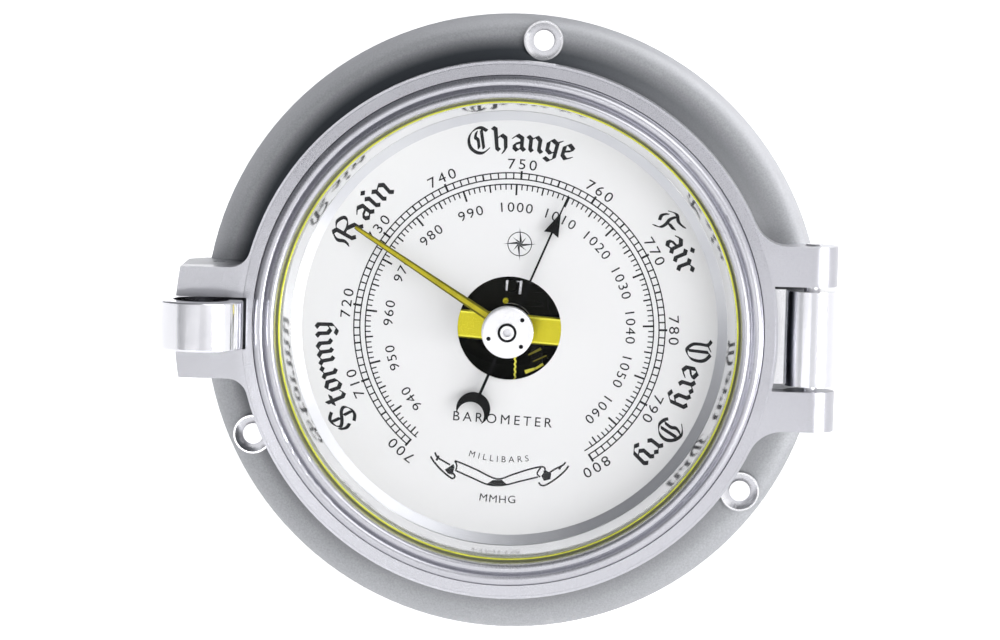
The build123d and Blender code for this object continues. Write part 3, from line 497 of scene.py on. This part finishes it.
def union(polys):
    """One triangulation of overlapping polygons, all given as lists of (x, z)."""
    verts, faces = [], []
    for p in polys:
        faces.append(list(range(len(verts), len(verts) + len(p))))
        verts.extend(Vector(q) for q in p)
    v, _, f, _, _, _ = geometry.delaunay_2d_cdt(verts, [], faces, 1, 1e-5)
    cells = {}
    for i, p in enumerate(polys):
        xs, zs = [q[0] for q in p], [q[1] for q in p]
        for gx in range(math.floor(min(xs)), math.floor(max(xs)) + 1):
            for gz in range(math.floor(min(zs)), math.floor(max(zs)) + 1):
                cells.setdefault((gx, gz), []).append(i)

    def inside(x, z, p):
        hit, j = False, len(p) - 1
        for i in range(len(p)):
            (x0, z0), (x1, z1) = p[j], p[i]
            if (z0 > z) != (z1 > z) and x < (x1 - x0) * (z - z0) / (z1 - z0) + x0:
                hit = not hit
            j = i
        return hit

    keep = []
    for t in f:
        x, z = sum(v[i][0] for i in t) / 3, sum(v[i][1] for i in t) / 3
        if any(inside(x, z, polys[i]) for i in cells.get((math.floor(x), math.floor(z)), ())):
            keep.append(tuple(t))
    return [tuple(q) for q in v], keep


def arc_band(r0, r1, a0, a1, n):
    pts = [(r1 * math.cos(t), r1 * math.sin(t)) for t in (a0 + (a1 - a0) * i / n for i in range(n + 1))]
    pts += [(r0 * math.cos(t), r0 * math.sin(t)) for t in (a1 + (a0 - a1) * i / n for i in range(n + 1))]
    return pts


def ribbon_quads(line, width):
    """Quads of constant width along a polyline, with round joints."""
    out = []
    for (x0, y0), (x1, y1) in zip(line, line[1:]):
        dx, dy = x1 - x0, y1 - y0
        L = math.hypot(dx, dy) or 1e-9
        nx, ny = -dy / L * width / 2, dx / L * width / 2
        out.append([(x0 + nx, y0 + ny), (x0 - nx, y0 - ny), (x1 - nx, y1 - ny), (x1 + nx, y1 + ny)])
    for x, y in line[1:-1]:
        out.append([(x + width / 2 * math.cos(t * math.pi / 3), y + width / 2 * math.sin(t * math.pi / 3)) for t in range(6)])
    return out


# ------------------------------------------------------------------ broad-nib lettering
# Each letter is a set of pen lines with x-height 1; the nib is held at a steady angle.
def smooth(line, n=5):
    """A line that passes through its points in a curve."""
    if len(line) < 3:
        return line
    p = [line[0]] + list(line) + [line[-1]]
    out = []
    for i in range(1, len(p) - 2):
        for k in range(n):
            t = k / n
            q = []
            for c in (0, 1):
                a, b, d, e = p[i - 1][c], p[i][c], p[i + 1][c], p[i + 2][c]
                q.append(0.5 * (2 * b + (d - a) * t + (2 * a - 5 * b + 4 * d - e) * t * t + (3 * b - a - 3 * d + e) * t ** 3))
            out.append(tuple(q))
    out.append(p[-2])
    return out


LETTERS = {
    "i": (0.50, [[(-0.06, 0.98), (0.10, 0.82), (0.10, 0.18), (0.26, 0.02)], [(0.02, 1.44), (0.16, 1.30)]], []),
    "n": (1.02, [[(-0.06, 0.98), (0.10, 0.82), (0.10, 0.16), (0.22, 0.02)], [(0.10, 0.76), (0.40, 1.0), (0.60, 0.80), (0.60, 0.18), (0.76, 0.02)]], []),
    "m": (1.52, [[(-0.06, 0.98), (0.10, 0.82), (0.10, 0.16), (0.22, 0.02)], [(0.10, 0.76), (0.38, 1.0), (0.58, 0.80), (0.58, 0.16), (0.70, 0.02)],
                 [(0.58, 0.76), (0.86, 1.0), (1.06, 0.80), (1.06, 0.18), (1.22, 0.02)]], []),
    "r": (0.76, [[(-0.06, 0.98), (0.10, 0.82), (0.10, 0.18), (0.26, 0.02)], [(0.10, 0.76), (0.36, 1.0), (0.52, 0.84)]], []),
    "a": (0.88, [[(0.04, 0.84), (0.24, 1.0), (0.50, 0.82), (0.50, 0.18), (0.66, 0.02)], [(0.50, 0.56), (0.10, 0.40), (0.08, 0.16), (0.24, 0.0), (0.50, 0.20)]], []),
    "o": (0.84, [[(0.26, 1.0), (0.04, 0.80), (0.04, 0.20), (0.26, 0.0)], [(0.22, 1.0), (0.52, 0.80), (0.52, 0.20), (0.26, 0.0)]], []),
    "e": (0.78, [[(0.26, 1.0), (0.04, 0.80), (0.04, 0.20), (0.26, 0.0), (0.54, 0.20)], [(0.24, 1.0), (0.50, 0.80), (0.44, 0.62), (0.06, 0.44)]], []),
    "g": (0.90, [[(0.26, 1.0), (0.04, 0.80), (0.04, 0.28), (0.26, 0.10), (0.52, 0.30)], [(0.22, 1.0), (0.52, 0.80), (0.52, -0.16), (0.24, -0.40), (-0.04, -0.24)],
                 [(0.52, 0.90), (0.70, 1.02)]], []),
    "h": (1.00, [[(-0.04, 1.52), (0.10, 1.40), (0.10, 0.16), (0.22, 0.02)], [(0.10, 0.76), (0.40, 1.0), (0.60, 0.80), (0.60, 0.12), (0.44, -0.16)]], []),
    "t": (0.66, [[(0.14, 1.30), (0.14, 0.18), (0.30, 0.0), (0.48, 0.14)], [(-0.08, 0.93), (0.44, 0.93)]], []),
    "y": (0.92, [[(-0.06, 0.98), (0.08, 0.82), (0.08, 0.24), (0.28, 0.04), (0.54, 0.24)], [(0.42, 1.0), (0.58, 0.84), (0.58, -0.12), (0.28, -0.40), (0.02, -0.26)]], []),
    "S": (1.42, [], [[(1.02, 1.30), (0.72, 1.60), (0.34, 1.48), (0.16, 1.18), (0.42, 0.90), (0.86, 0.66), (1.00, 0.36), (0.74, 0.04), (0.36, -0.02), (0.06, 0.22)],
                     [(0.06, 1.34), (-0.06, 0.92), (0.04, 0.60)], [(0.58, 1.50), (0.56, 0.96)], [(0.60, 0.62), (0.60, 0.08)]]),
    "R": (1.50, [[(0.10, 1.50), (0.30, 1.34), (0.30, 0.20), (0.46, 0.02)], [(0.62, 0.80), (0.98, 0.50), (0.98, 0.18), (1.16, 0.0)]],
          [[(0.30, 1.36), (0.62, 1.60), (0.98, 1.36), (0.94, 1.02), (0.60, 0.82), (0.34, 0.80)], [(0.06, 1.40), (-0.12, 1.0), (-0.02, 0.52), (-0.10, 0.16)]]),
    "C": (1.40, [], [[(1.04, 1.36), (0.70, 1.62), (0.28, 1.42), (0.04, 0.98), (0.04, 0.44), (0.32, 0.04), (0.70, -0.06), (1.04, 0.16)],
                     [(0.50, 1.36), (0.40, 1.02), (0.52, 0.82), (0.50, 0.30)], [(0.76, 1.44), (0.76, 0.24)]]),
    "F": (1.16, [[(0.46, 0.84), (0.84, 0.90)]], [[(0.0, 1.34), (0.30, 1.60), (0.66, 1.42), (1.02, 1.56)], [(0.40, 1.48), (0.32, 1.06), (0.40, 0.64), (0.36, 0.22), (0.08, -0.02)],
                     [(0.04, 1.14), (-0.08, 0.78), (0.04, 0.48)]]),
    "V": (1.44, [], [[(-0.02, 1.58), (0.18, 1.36), (0.16, 0.88), (0.20, 0.36), (0.54, 0.0), (0.94, 0.30), (1.04, 0.86), (0.94, 1.30), (0.66, 1.60)],
                     [(0.54, 1.44), (0.54, 0.14)], [(0.18, 1.36), (0.44, 1.56)]]),
    "D": (1.46, [], [[(-0.04, 1.30), (0.36, 1.60), (0.80, 1.40), (1.06, 0.92), (0.98, 0.34), (0.60, 0.0), (0.22, 0.08), (0.02, 0.28)],
                     [(0.36, 1.46), (0.24, 1.08), (0.34, 0.74), (0.30, 0.26)], [(0.64, 1.40), (0.64, 0.20)]]),
    " ": (0.8, [], []),
}


def nib_polys(line, nib_w, nib_angle, thin):
    """Parallelograms swept by a flat nib along a line, with a little thickness everywhere."""
    nx, ny = math.cos(nib_angle) * nib_w / 2, math.sin(nib_angle) * nib_w / 2
    tx, ty = -math.sin(nib_angle) * thin / 2, math.cos(nib_angle) * thin / 2
    out = []
    for p, q in zip(line, line[1:]):
        pts = []
        for (x, y) in (p, q):
            for sx, sy in ((nx, ny), (-nx, -ny)):
                pts += [(x + sx + tx, y + sy + ty), (x + sx - tx, y + sy - ty)]
        hull = geometry.convex_hull_2d([Vector(v) for v in pts])
        out.append([pts[i] for i in hull])
    return out


def blackletter(word, a_left, a_right, base_r, size, nib=0.275):
    """A word along an arc about the dial's centre, tops outward, from angle a_left round to a_right."""
    width = sum(LETTERS[c][0] for c in word) - 0.28
    span = (a_left - a_right) * D2R * (base_r + 0.5 * size)
    sx = span / width
    polys, x = [], 0.06
    for c in word:
        adv, straight, curved = LETTERS[c]
        lines = [(s, 1) for s in straight] + [(smooth(s), 0.8) for s in curved]
        for line, w in lines:
            scaled = [(px * sx / size, py) for px, py in line]
            fine = []
            for (x0, y0), (x1, y1) in zip(scaled, scaled[1:]):
                fine += [(x0 + (x1 - x0) * k / 3, y0 + (y1 - y0) * k / 3) for k in range(3)]
            fine.append(scaled[-1])
            for poly in nib_polys(fine, nib * w, 40 * D2R, 0.055):
                bent = []
                for px, py in poly:
                    a = a_left * D2R - (x * sx + px * size) / (base_r + 0.5 * size)
                    r = base_r + py * size
                    bent.append((r * math.cos(a), r * math.sin(a)))
                polys.append(bent)
        x += adv
    return polys


def text_polys(body, height, place, bold=0.0, spacing=1.0):
    """Triangles of the built-in font, put through place(x, y); x is centred and y runs 0 to height."""
    cu = bpy.data.curves.new("t", "FONT")
    cu.body, cu.align_x, cu.offset, cu.space_character = body, "CENTER", bold, spacing
    cu.resolution_u = 5
    tmp = bpy.data.objects.new("t", cu)
    scene.collection.objects.link(tmp)
    bpy.context.view_layer.update()
    me = bpy.data.meshes.new_from_object(tmp.evaluated_get(bpy.context.evaluated_depsgraph_get()))
    bpy.data.objects.remove(tmp)
    ys = [v.co.y for v in me.vertices]
    cap = 0.73
    k = height / cap
    polys = []
    for p in me.polygons:
        polys.append([place(me.vertices[i].co.x * k, me.vertices[i].co.y * k) for i in p.vertices])
    bpy.data.meshes.remove(me)
    return polys


def on_arc(angle, r, outward=True, wide=1.0):
    """Puts text at an angle of the dial, with its tops outward, or inward."""
    def place(x, y):
        x *= wide
        if outward:
            a, rr = angle * D2R - x / r, r + y
        else:
            a, rr = angle * D2R + x / r, r - y
        return (rr * math.cos(a), rr * math.sin(a))
    return place


def straight(cx, cz, tilt):
    c, s = math.cos(tilt * D2R), math.sin(tilt * D2R)
    return lambda x, y: (cx + x * c - y * s, cz + x * s + y * c)


# ------------------------------------------------------------------ the dial's print
INK_BACK, INK_FRONT = 18.995, 19.025
TILT = 1.46                      # how far the print is turned in the case
A700, STEP_MM = 228.7 + TILT, 2.865       # degrees at 700 mmHg, and per mmHg
A1000, STEP_MB = 87.0 + TILT, 2.149       # degrees at 1000 mb, and per mb


def tick(a, r0, r1, w):
    a *= D2R
    c, s = math.cos(a), math.sin(a)
    return [(r0 * c - w / 2 * s, r0 * s + w / 2 * c), (r0 * c + w / 2 * s, r0 * s - w / 2 * c),
            (r1 * c + w / 2 * s, r1 * s - w / 2 * c), (r1 * c - w / 2 * s, r1 * s + w / 2 * c)]


lo_a, hi_a = (A700 - 100 * STEP_MM) * D2R, A700 * D2R
scale_polys = [arc_band(34.56, 34.86, lo_a - 0.012, hi_a + 0.02, 220),
               arc_band(35.86, 36.16, lo_a, hi_a, 220),
               arc_band(37.32, 37.62, lo_a, hi_a, 220)]
for k in range(101):
    a = A700 - k * STEP_MM
    if k % 10 == 0:
        scale_polys.append(tick(a, 35.86, 38.0, 0.50))
    elif k % 5 == 0:
        scale_polys.append(tick(a, 35.86, 37.58, 0.42))
    else:
        scale_polys.append(tick(a, 35.86, 37.58, 0.32))
for k in range(-66, 67):
    a = A1000 - k * STEP_MB
    if not (lo_a - 0.012) <= a * D2R <= (hi_a + 0.02):
        continue
    if k % 10 == 0:
        scale_polys.append(tick(a, 32.1, 34.84, 0.46))
    elif k % 5 == 0:
        scale_polys.append(tick(a, 32.9, 34.84, 0.38))
    else:
        scale_polys.append(tick(a, 33.4, 34.84, 0.30))
pts, tris = union(scale_polys)
sheet_solid("dial_scales_print", tris, pts, INK_BACK, INK_FRONT, M_INK, "case")

num_polys = []
for k in range(0, 101, 10):
    num_polys += text_polys(str(700 + k), 2.55, on_arc(A700 - k * STEP_MM, 38.45, wide=1.12), 0.0, 1.3)
for k in range(-60, 61, 10):
    num_polys += text_polys(str(1000 + k), 2.4, on_arc(A1000 - k * STEP_MB, 28.1, wide=1.08), 0.0, 1.2)
num_polys += text_polys("BAROMETER", 2.4, straight(-1.2, -23.2, -2.6), 0.0, 1.42)
num_polys += text_polys("MILLIBARS", 1.55, on_arc(266.8, 32.5, False), 0.0, 1.62)
num_polys += text_polys("MMHG", 1.9, on_arc(267.5, 42.4, False, 1.1), 0.0, 1.12)
pts, tris = union(num_polys)
sheet_solid("dial_numbers_print", tris, pts, INK_BACK, INK_FRONT, M_INK, "case")

word_polys = []
for word, a0, a1 in (("Stormy", 211.7, 179.0), ("Rain", 152.5, 130.8), ("Change", 102.6, 70.8), ("Fair", 36.7, 18.3),
                     ("Very", -3.3, -24.2), ("Dry", -29.2, -45.0)):
    word_polys += blackletter(word, a0 + TILT, a1 + TILT, 42.9, 3.65)
pts, tris = union(word_polys)
sheet_solid("dial_words_print", tris, pts, INK_BACK, INK_FRONT, M_INK, "case")

# A small compass star above the centre, and a folded ribbon below.
orn = []
cx, cz = 2.0, 20.4
for k in range(8):
    a = (90 + 45 * k + TILT) * D2R
    long_r = 4.0 if k % 2 == 0 else 2.3
    side = 0.85 if k % 2 == 0 else 0.6
    tip = (cx + long_r * math.cos(a), cz + long_r * math.sin(a))
    waist = (cx + side * math.cos(a - math.pi / 8 * 1.7), cz + side * math.sin(a - math.pi / 8 * 1.7))
    orn.append([(cx, cz), waist, tip])
orn.append(arc_band(2.75, 2.95, 0, 2 * math.pi * 0.999, 72))
orn[-1] = [(x + cx, z + cz) for x, z in orn[-1]]
STAR = len(orn)
lines = [
    ([(-18.6, -32.2), (-17.7, -33.6), (-16.0, -35.5), (-14.0, -37.2), (-13.2, -37.5), (-12.8, -36.9), (-13.4, -36.1)], 0.42),
    ([(-17.6, -31.2), (-17.0, -32.4), (-15.4, -33.4), (-14.0, -34.2)], 0.42),
    ([(-12.9, -33.2), (-11.0, -33.9), (-7.6, -35.4), (-3.0, -37.5), (0.6, -36.4), (4.0, -35.2), (7.2, -34.4), (8.2, -34.8), (8.0, -35.7)], 0.40),
    ([(-12.6, -35.6), (-9.0, -37.2), (-5.0, -38.9), (-1.4, -39.0), (2.4, -38.0), (6.6, -36.9)], 0.40),
    ([(-12.9, -33.2), (-12.4, -34.4), (-12.7, -35.7)], 0.36),
    ([(7.2, -34.6), (6.4, -36.0), (7.1, -36.9)], 0.36),
    ([(8.9, -36.1), (10.4, -35.0), (12.4, -33.9), (12.9, -33.2)], 0.42),
    ([(13.7, -34.1), (12.6, -35.6), (10.6, -37.4), (8.5, -38.8), (7.4, -38.9), (6.8, -38.2)], 0.42),
    ([(-16.7, -32.0), (-17.2, -33.2)], 0.5), ([(11.9, -34.2), (11.5, -35.0)], 0.5),
]
for line, w in lines:
    orn += ribbon_quads(smooth(line, 4), w)
orn += [[(-15.2, -35.4), (-13.2, -34.0), (-12.9, -34.8), (-13.4, -36.6), (-14.4, -36.4)],
        [(8.3, -35.2), (9.7, -36.0), (9.5, -37.4), (8.0, -37.8), (7.4, -36.6)],
        [(-5.4, -38.8), (-4.0, -37.8), (-1.8, -37.7), (-0.7, -38.7), (-3.2, -39.1)]]
orn = orn[:STAR] + [[(1.033 * x + 1.02, z + 0.019 * x + 0.955) for x, z in p] for p in orn[STAR:]]
pts, tris = union(orn)
sheet_solid("dial_ornament_print", tris, pts, INK_BACK, INK_FRONT, M_INK, "case")


# ------------------------------------------------------------------ chain, set hand
def mesh_object(name, bm, mat, body, smooth_angle=None):
    me = bpy.data.meshes.new(name)
    bm.normal_update()
    bm.to_mesh(me)
    bm.free()
    me.materials.append(mat)
    o = bpy.data.objects.new(name, me)
    scene.collection.objects.link(o)
    if smooth_angle:
        me.shade_smooth()
        me.set_sharp_from_angle(angle=smooth_angle * D2R)
    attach(o, body)
    return o


def prism(bm, outline, d0, d1):
    """A closed prism of a counter-clockwise (x, z) outline between two depths."""
    b = [bm.verts.new(face_plane(x, z, d0)) for x, z in outline]
    f = [bm.verts.new(face_plane(x, z, d1)) for x, z in outline]
    bm.faces.new(f)
    bm.faces.new(b[::-1])
    n = len(outline)
    for i in range(n):
        j = (i + 1) % n
        bm.faces.new((b[i], b[j], f[j], f[i]))


def link_plate(x, z, half, r, ang=0.0):
    pts = []
    for k in range(7):
        t = math.pi * k / 6
        pts.append((x + r * math.cos(t), z + half + r * math.sin(t)))
    for k in range(7):
        t = math.pi + math.pi * k / 6
        pts.append((x + r * math.cos(t), z - half + r * math.sin(t)))
    return pts


# Roller-like links side by side, each leaning the other way, with a rivet at every joint.
cx0, pitch = 1.50, 0.62
count = int(33.6 / pitch)


def lean_link(bm, x, z, lean, half, r, d0, d1):
    c, sn = math.cos(lean), math.sin(lean)
    prism(bm, [(x + (px - x) * c - (pz - z) * sn, z + (px - x) * sn + (pz - z) * c) for px, pz in link_plate(x, z, half, r)], d0, d1)


bm = bmesh.new()
for i in range(count):
    z = -0.3 - pitch * (i + 0.5)
    side = 1 if i % 2 == 0 else -1
    lean_link(bm, cx0, z, side * 0.62, pitch * 0.50, 0.19, 15.62 if side > 0 else 15.82, 15.78 if side > 0 else 15.98)
for i in range(count + 1):
    z = -0.3 - pitch * i
    x = cx0 + (0.22 if i % 2 else -0.22)
    prism(bm, [(x + 0.15 * math.cos(t * math.pi / 4), z + 0.15 * math.sin(t * math.pi / 4)) for t in range(8)], 15.605, 15.995)
chain = mesh_object("fusee_chain", bm, M_CHAIN, "case")
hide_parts("chain")


def lathe(bm, prof, n=160, mat=0, cx=0.0, cz=0.0):
    """A closed ring turned from a closed profile of (radius, depth)."""
    rings = [[bm.verts.new(face_plane(cx + r * math.cos(2 * math.pi * i / n), cz + r * math.sin(2 * math.pi * i / n), d))
              for i in range(n)] for r, d in prof]
    for a, b in zip(rings, rings[1:] + rings[:1]):
        for i in range(n):
            j = (i + 1) % n
            bm.faces.new((a[i], a[j], b[j], b[i])).material_index = mat


def set_hand_mesh():
    """Tapered hand with a flat crown and sloping sides, a boss and a bore."""
    bm = bmesh.new()
    ang = 147.7 * D2R
    ca, sa = math.cos(ang), math.sin(ang)
    rows = [(2.6, 1.20), (8, 1.06), (15, 0.94), (22, 0.84), (30, 0.74), (38, 0.63), (43.7, 0.52), (44.3, 0.34)]
    ring = []
    for s, w in rows:
        top = 23.50 if s < 44 else 23.3
        prof = [(w, 22.93), (w, 23.05), (0.52 * w, top), (-0.52 * w, top), (-w, 23.05), (-w, 22.93)]
        ring.append([bm.verts.new(face_plane(s * ca - t * sa, s * sa + t * ca, d)) for t, d in prof])
    for a, b in zip(ring, ring[1:]):
        for k in range(6):
            j = (k + 1) % 6
            # The crown takes material 0; the sloping sides and underside take material 1, a darker brass that is
            # painted shade.
            bm.faces.new((a[k], b[k], b[j], a[j])).material_index = 0 if k == 2 else 1
    bm.faces.new(ring[0]); bm.faces.new(ring[-1][::-1])
    lathe(bm, [(1.03, 22.92), (2.95, 22.92), (3.0, 23.0), (3.0, 23.38), (2.85, 23.5), (1.03, 23.5)], 64)
    bmesh.ops.recalc_face_normals(bm, faces=bm.faces)
    return bm


M_SETH = brass("set_hand_brass", (0.34, 0.30, 0.025), (0.56, 0.49, 0.035), (0.26, 0.40))
M_OLD = brass("dull_brass", (0.10, 0.09, 0.015), (0.22, 0.20, 0.03), (0.35, 0.5))
# Painted shade: the hand's sloping sides get a darker copy of its brass.
M_SETH_SIDE_SHADE = brass("set_hand_side_shade", (0.13, 0.12, 0.012), (0.20, 0.18, 0.02), (0.30, 0.45))
hand = mesh_object("set_hand_ridged", set_hand_mesh(), M_SETH, "set_pointer", 12)
hand.data.materials.append(M_SETH_SIDE_SHADE)
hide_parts("set_hand")

# ------------------------------------------------------------------ glass edge line, knob marks, movement details
bm = bmesh.new()
lathe(bm, [(54.71, 26.62), (55.10, 26.62), (55.10, 27.03), (55.00, 27.06), (54.80, 27.06), (54.71, 27.0)], 240)
bmesh.ops.recalc_face_normals(bm, faces=bm.faces)
line = mesh_object("glass_edge_line", bm, M_TRIM, "bezel", 40)
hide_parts("glass_trim_ring")
bm = bmesh.new()
# A dark ring just outside the glass edge line: painted shade of the bezel's inner lip.
lathe(bm, [(55.11, 26.62), (56.68, 26.62), (56.68, 26.98), (55.42, 27.02), (55.11, 26.96)], 240)
bmesh.ops.recalc_face_normals(bm, faces=bm.faces)
bm2 = bmesh.new()
lathe(bm2, [(54.35, 23.34), (54.95, 23.30), (54.95, 23.49), (54.42, 23.49)], 240)
bmesh.ops.recalc_face_normals(bm2, faces=bm2.faces)
mesh_object("glass_seat_lip", bm2, M_RING, "bezel", 40)
lip_shadow_ring = mesh_object("glass_lip_shadow_ring", bm, M_LIP_SHADOW, "bezel", 40)

bm = bmesh.new()
# Painted shade: a black ring round the knob's boss where the gap lies in shadow, and three black dots of shade on the
# face.
lathe(bm, [(1.66, 30.78), (2.16, 30.78), (2.24, 30.72), (2.27, 30.74), (2.18, 30.825), (1.66, 30.825)], 64)
for deg in (-44.0, 41.5, 199.5):
    kx, kz = 4.7 * math.cos(deg * D2R), 4.7 * math.sin(deg * D2R)
    prism(bm, [(kx + 0.52 * math.cos(t * math.pi / 10), kz + 0.52 * math.sin(t * math.pi / 10)) for t in range(20)], 30.15, 30.225)
bmesh.ops.recalc_face_normals(bm, faces=bm.faces)
mesh_object("knob_painted_shade_marks", bm, M_HAND, "set_pointer")


def bar(bm, p, q, w0, w1, d0, d1):
    """A closed flat bar between two points, its width changing from one end to the other."""
    L = math.hypot(q[0] - p[0], q[1] - p[1])
    nx, nz = -(q[1] - p[1]) / L / 2, (q[0] - p[0]) / L / 2
    prism(bm, [(p[0] - nx * w0, p[1] - nz * w0), (q[0] - nx * w1, q[1] - nz * w1), (q[0] + nx * w1, q[1] + nz * w1), (p[0] + nx * w0, p[1] + nz * w0)], d0, d1)


bm = bmesh.new()
bar(bm, (-1.05, 8.7), (-0.95, 11.2), 0.42, 0.62, 14.76, 15.0)
bar(bm, (2.15, 7.9), (2.45, 11.2), 0.62, 0.55, 14.76, 15.0)
prism(bm, [(-1.3, 10.75), (2.7, 10.75), (2.7, 10.95), (-1.3, 10.95)], 13.6, 13.9)
bar(bm, (-0.98, 10.6), (-0.96, 11.1), 0.5, 0.5, 13.7, 14.9)
bar(bm, (2.38, 10.6), (2.42, 11.1), 0.45, 0.45, 13.7, 14.9)
bmesh.ops.recalc_face_normals(bm, faces=bm.faces)
fork = mesh_object("stem_fork", bm, M_STEEL, "capsule_stem")
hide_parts("stem_cross_pin")

bm = bmesh.new()
bar(bm, (4.6, -6.8), (7.6, -5.2), 0.42, 0.60, 14.15, 14.4)
bar(bm, (5.7, -8.4), (9.0, -6.8), 0.26, 0.36, 14.15, 14.4)
bmesh.ops.recalc_face_normals(bm, faces=bm.faces)
mesh_object("lever_dull_leaves", bm, M_OLD, "main_lever")
bm = bmesh.new()
bar(bm, (3.9, -11.0), (6.2, -10.1), 0.95, 0.62, 14.15, 14.4)
bar(bm, (6.4, -10.1), (8.2, -8.9), 0.50, 0.62, 14.15, 14.4)
bmesh.ops.recalc_face_normals(bm, faces=bm.faces)
mesh_object("lever_brass_leaves", bm, M_CHAIN, "main_lever")


def knob_mesh():
    """The set knob: a turned disc with a raised boss, a bore for its shaft and rounded edges."""
    bm = bmesh.new()
    lathe(bm, [(1.0, 27.0), (5.85, 27.0), (6.2, 27.3), (6.2, 29.75), (6.1, 30.0), (5.8, 30.18), (5.5, 30.2), (2.32, 30.2), (2.25, 30.28),
               (2.25, 30.7), (2.15, 30.8), (1.0, 30.8)], 96)
    bmesh.ops.recalc_face_normals(bm, faces=bm.faces)
    return bm


knob = mesh_object("set_knob_turned", knob_mesh(), M_KNOB, "set_pointer", 32)
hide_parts("set_knob")


# ------------------------------------------------------------------ floor and backdrop
def stage_sheet():
    """A seamless pale sweep: floor, a wide curve and a back wall."""
    bm = bmesh.new()
    prof = [(-1.5, -0.30), (3.6, -0.30)]
    for k in range(1, 13):
        t = math.pi / 2 * k / 12
        prof.append((3.6 + 0.9 * math.sin(t), -0.30 + 0.9 * (1 - math.cos(t))))
    prof.append((4.5, 5.0))
    rows = [[bm.verts.new((x, y, z)) for x in (-6.0, 6.0)] for y, z in prof]
    for a, b in zip(rows, rows[1:]):
        bm.faces.new((a[0], a[1], b[1], b[0]))
    me = bpy.data.meshes.new("pale_floor")
    bm.normal_update()
    bm.to_mesh(me)
    bm.free()
    me.shade_smooth()
    o = bpy.data.objects.new("pale_floor", me)
    scene.collection.objects.link(o)
    m = Mat("pale_floor", (0.95, 0.95, 0.95), 0.0, 0.9)
    m.p.inputs["Emission Color"].default_value = (1, 1, 1, 1)
    m.p.inputs["Emission Strength"].default_value = 0.55
    me.materials.append(m.m)


stage_sheet()
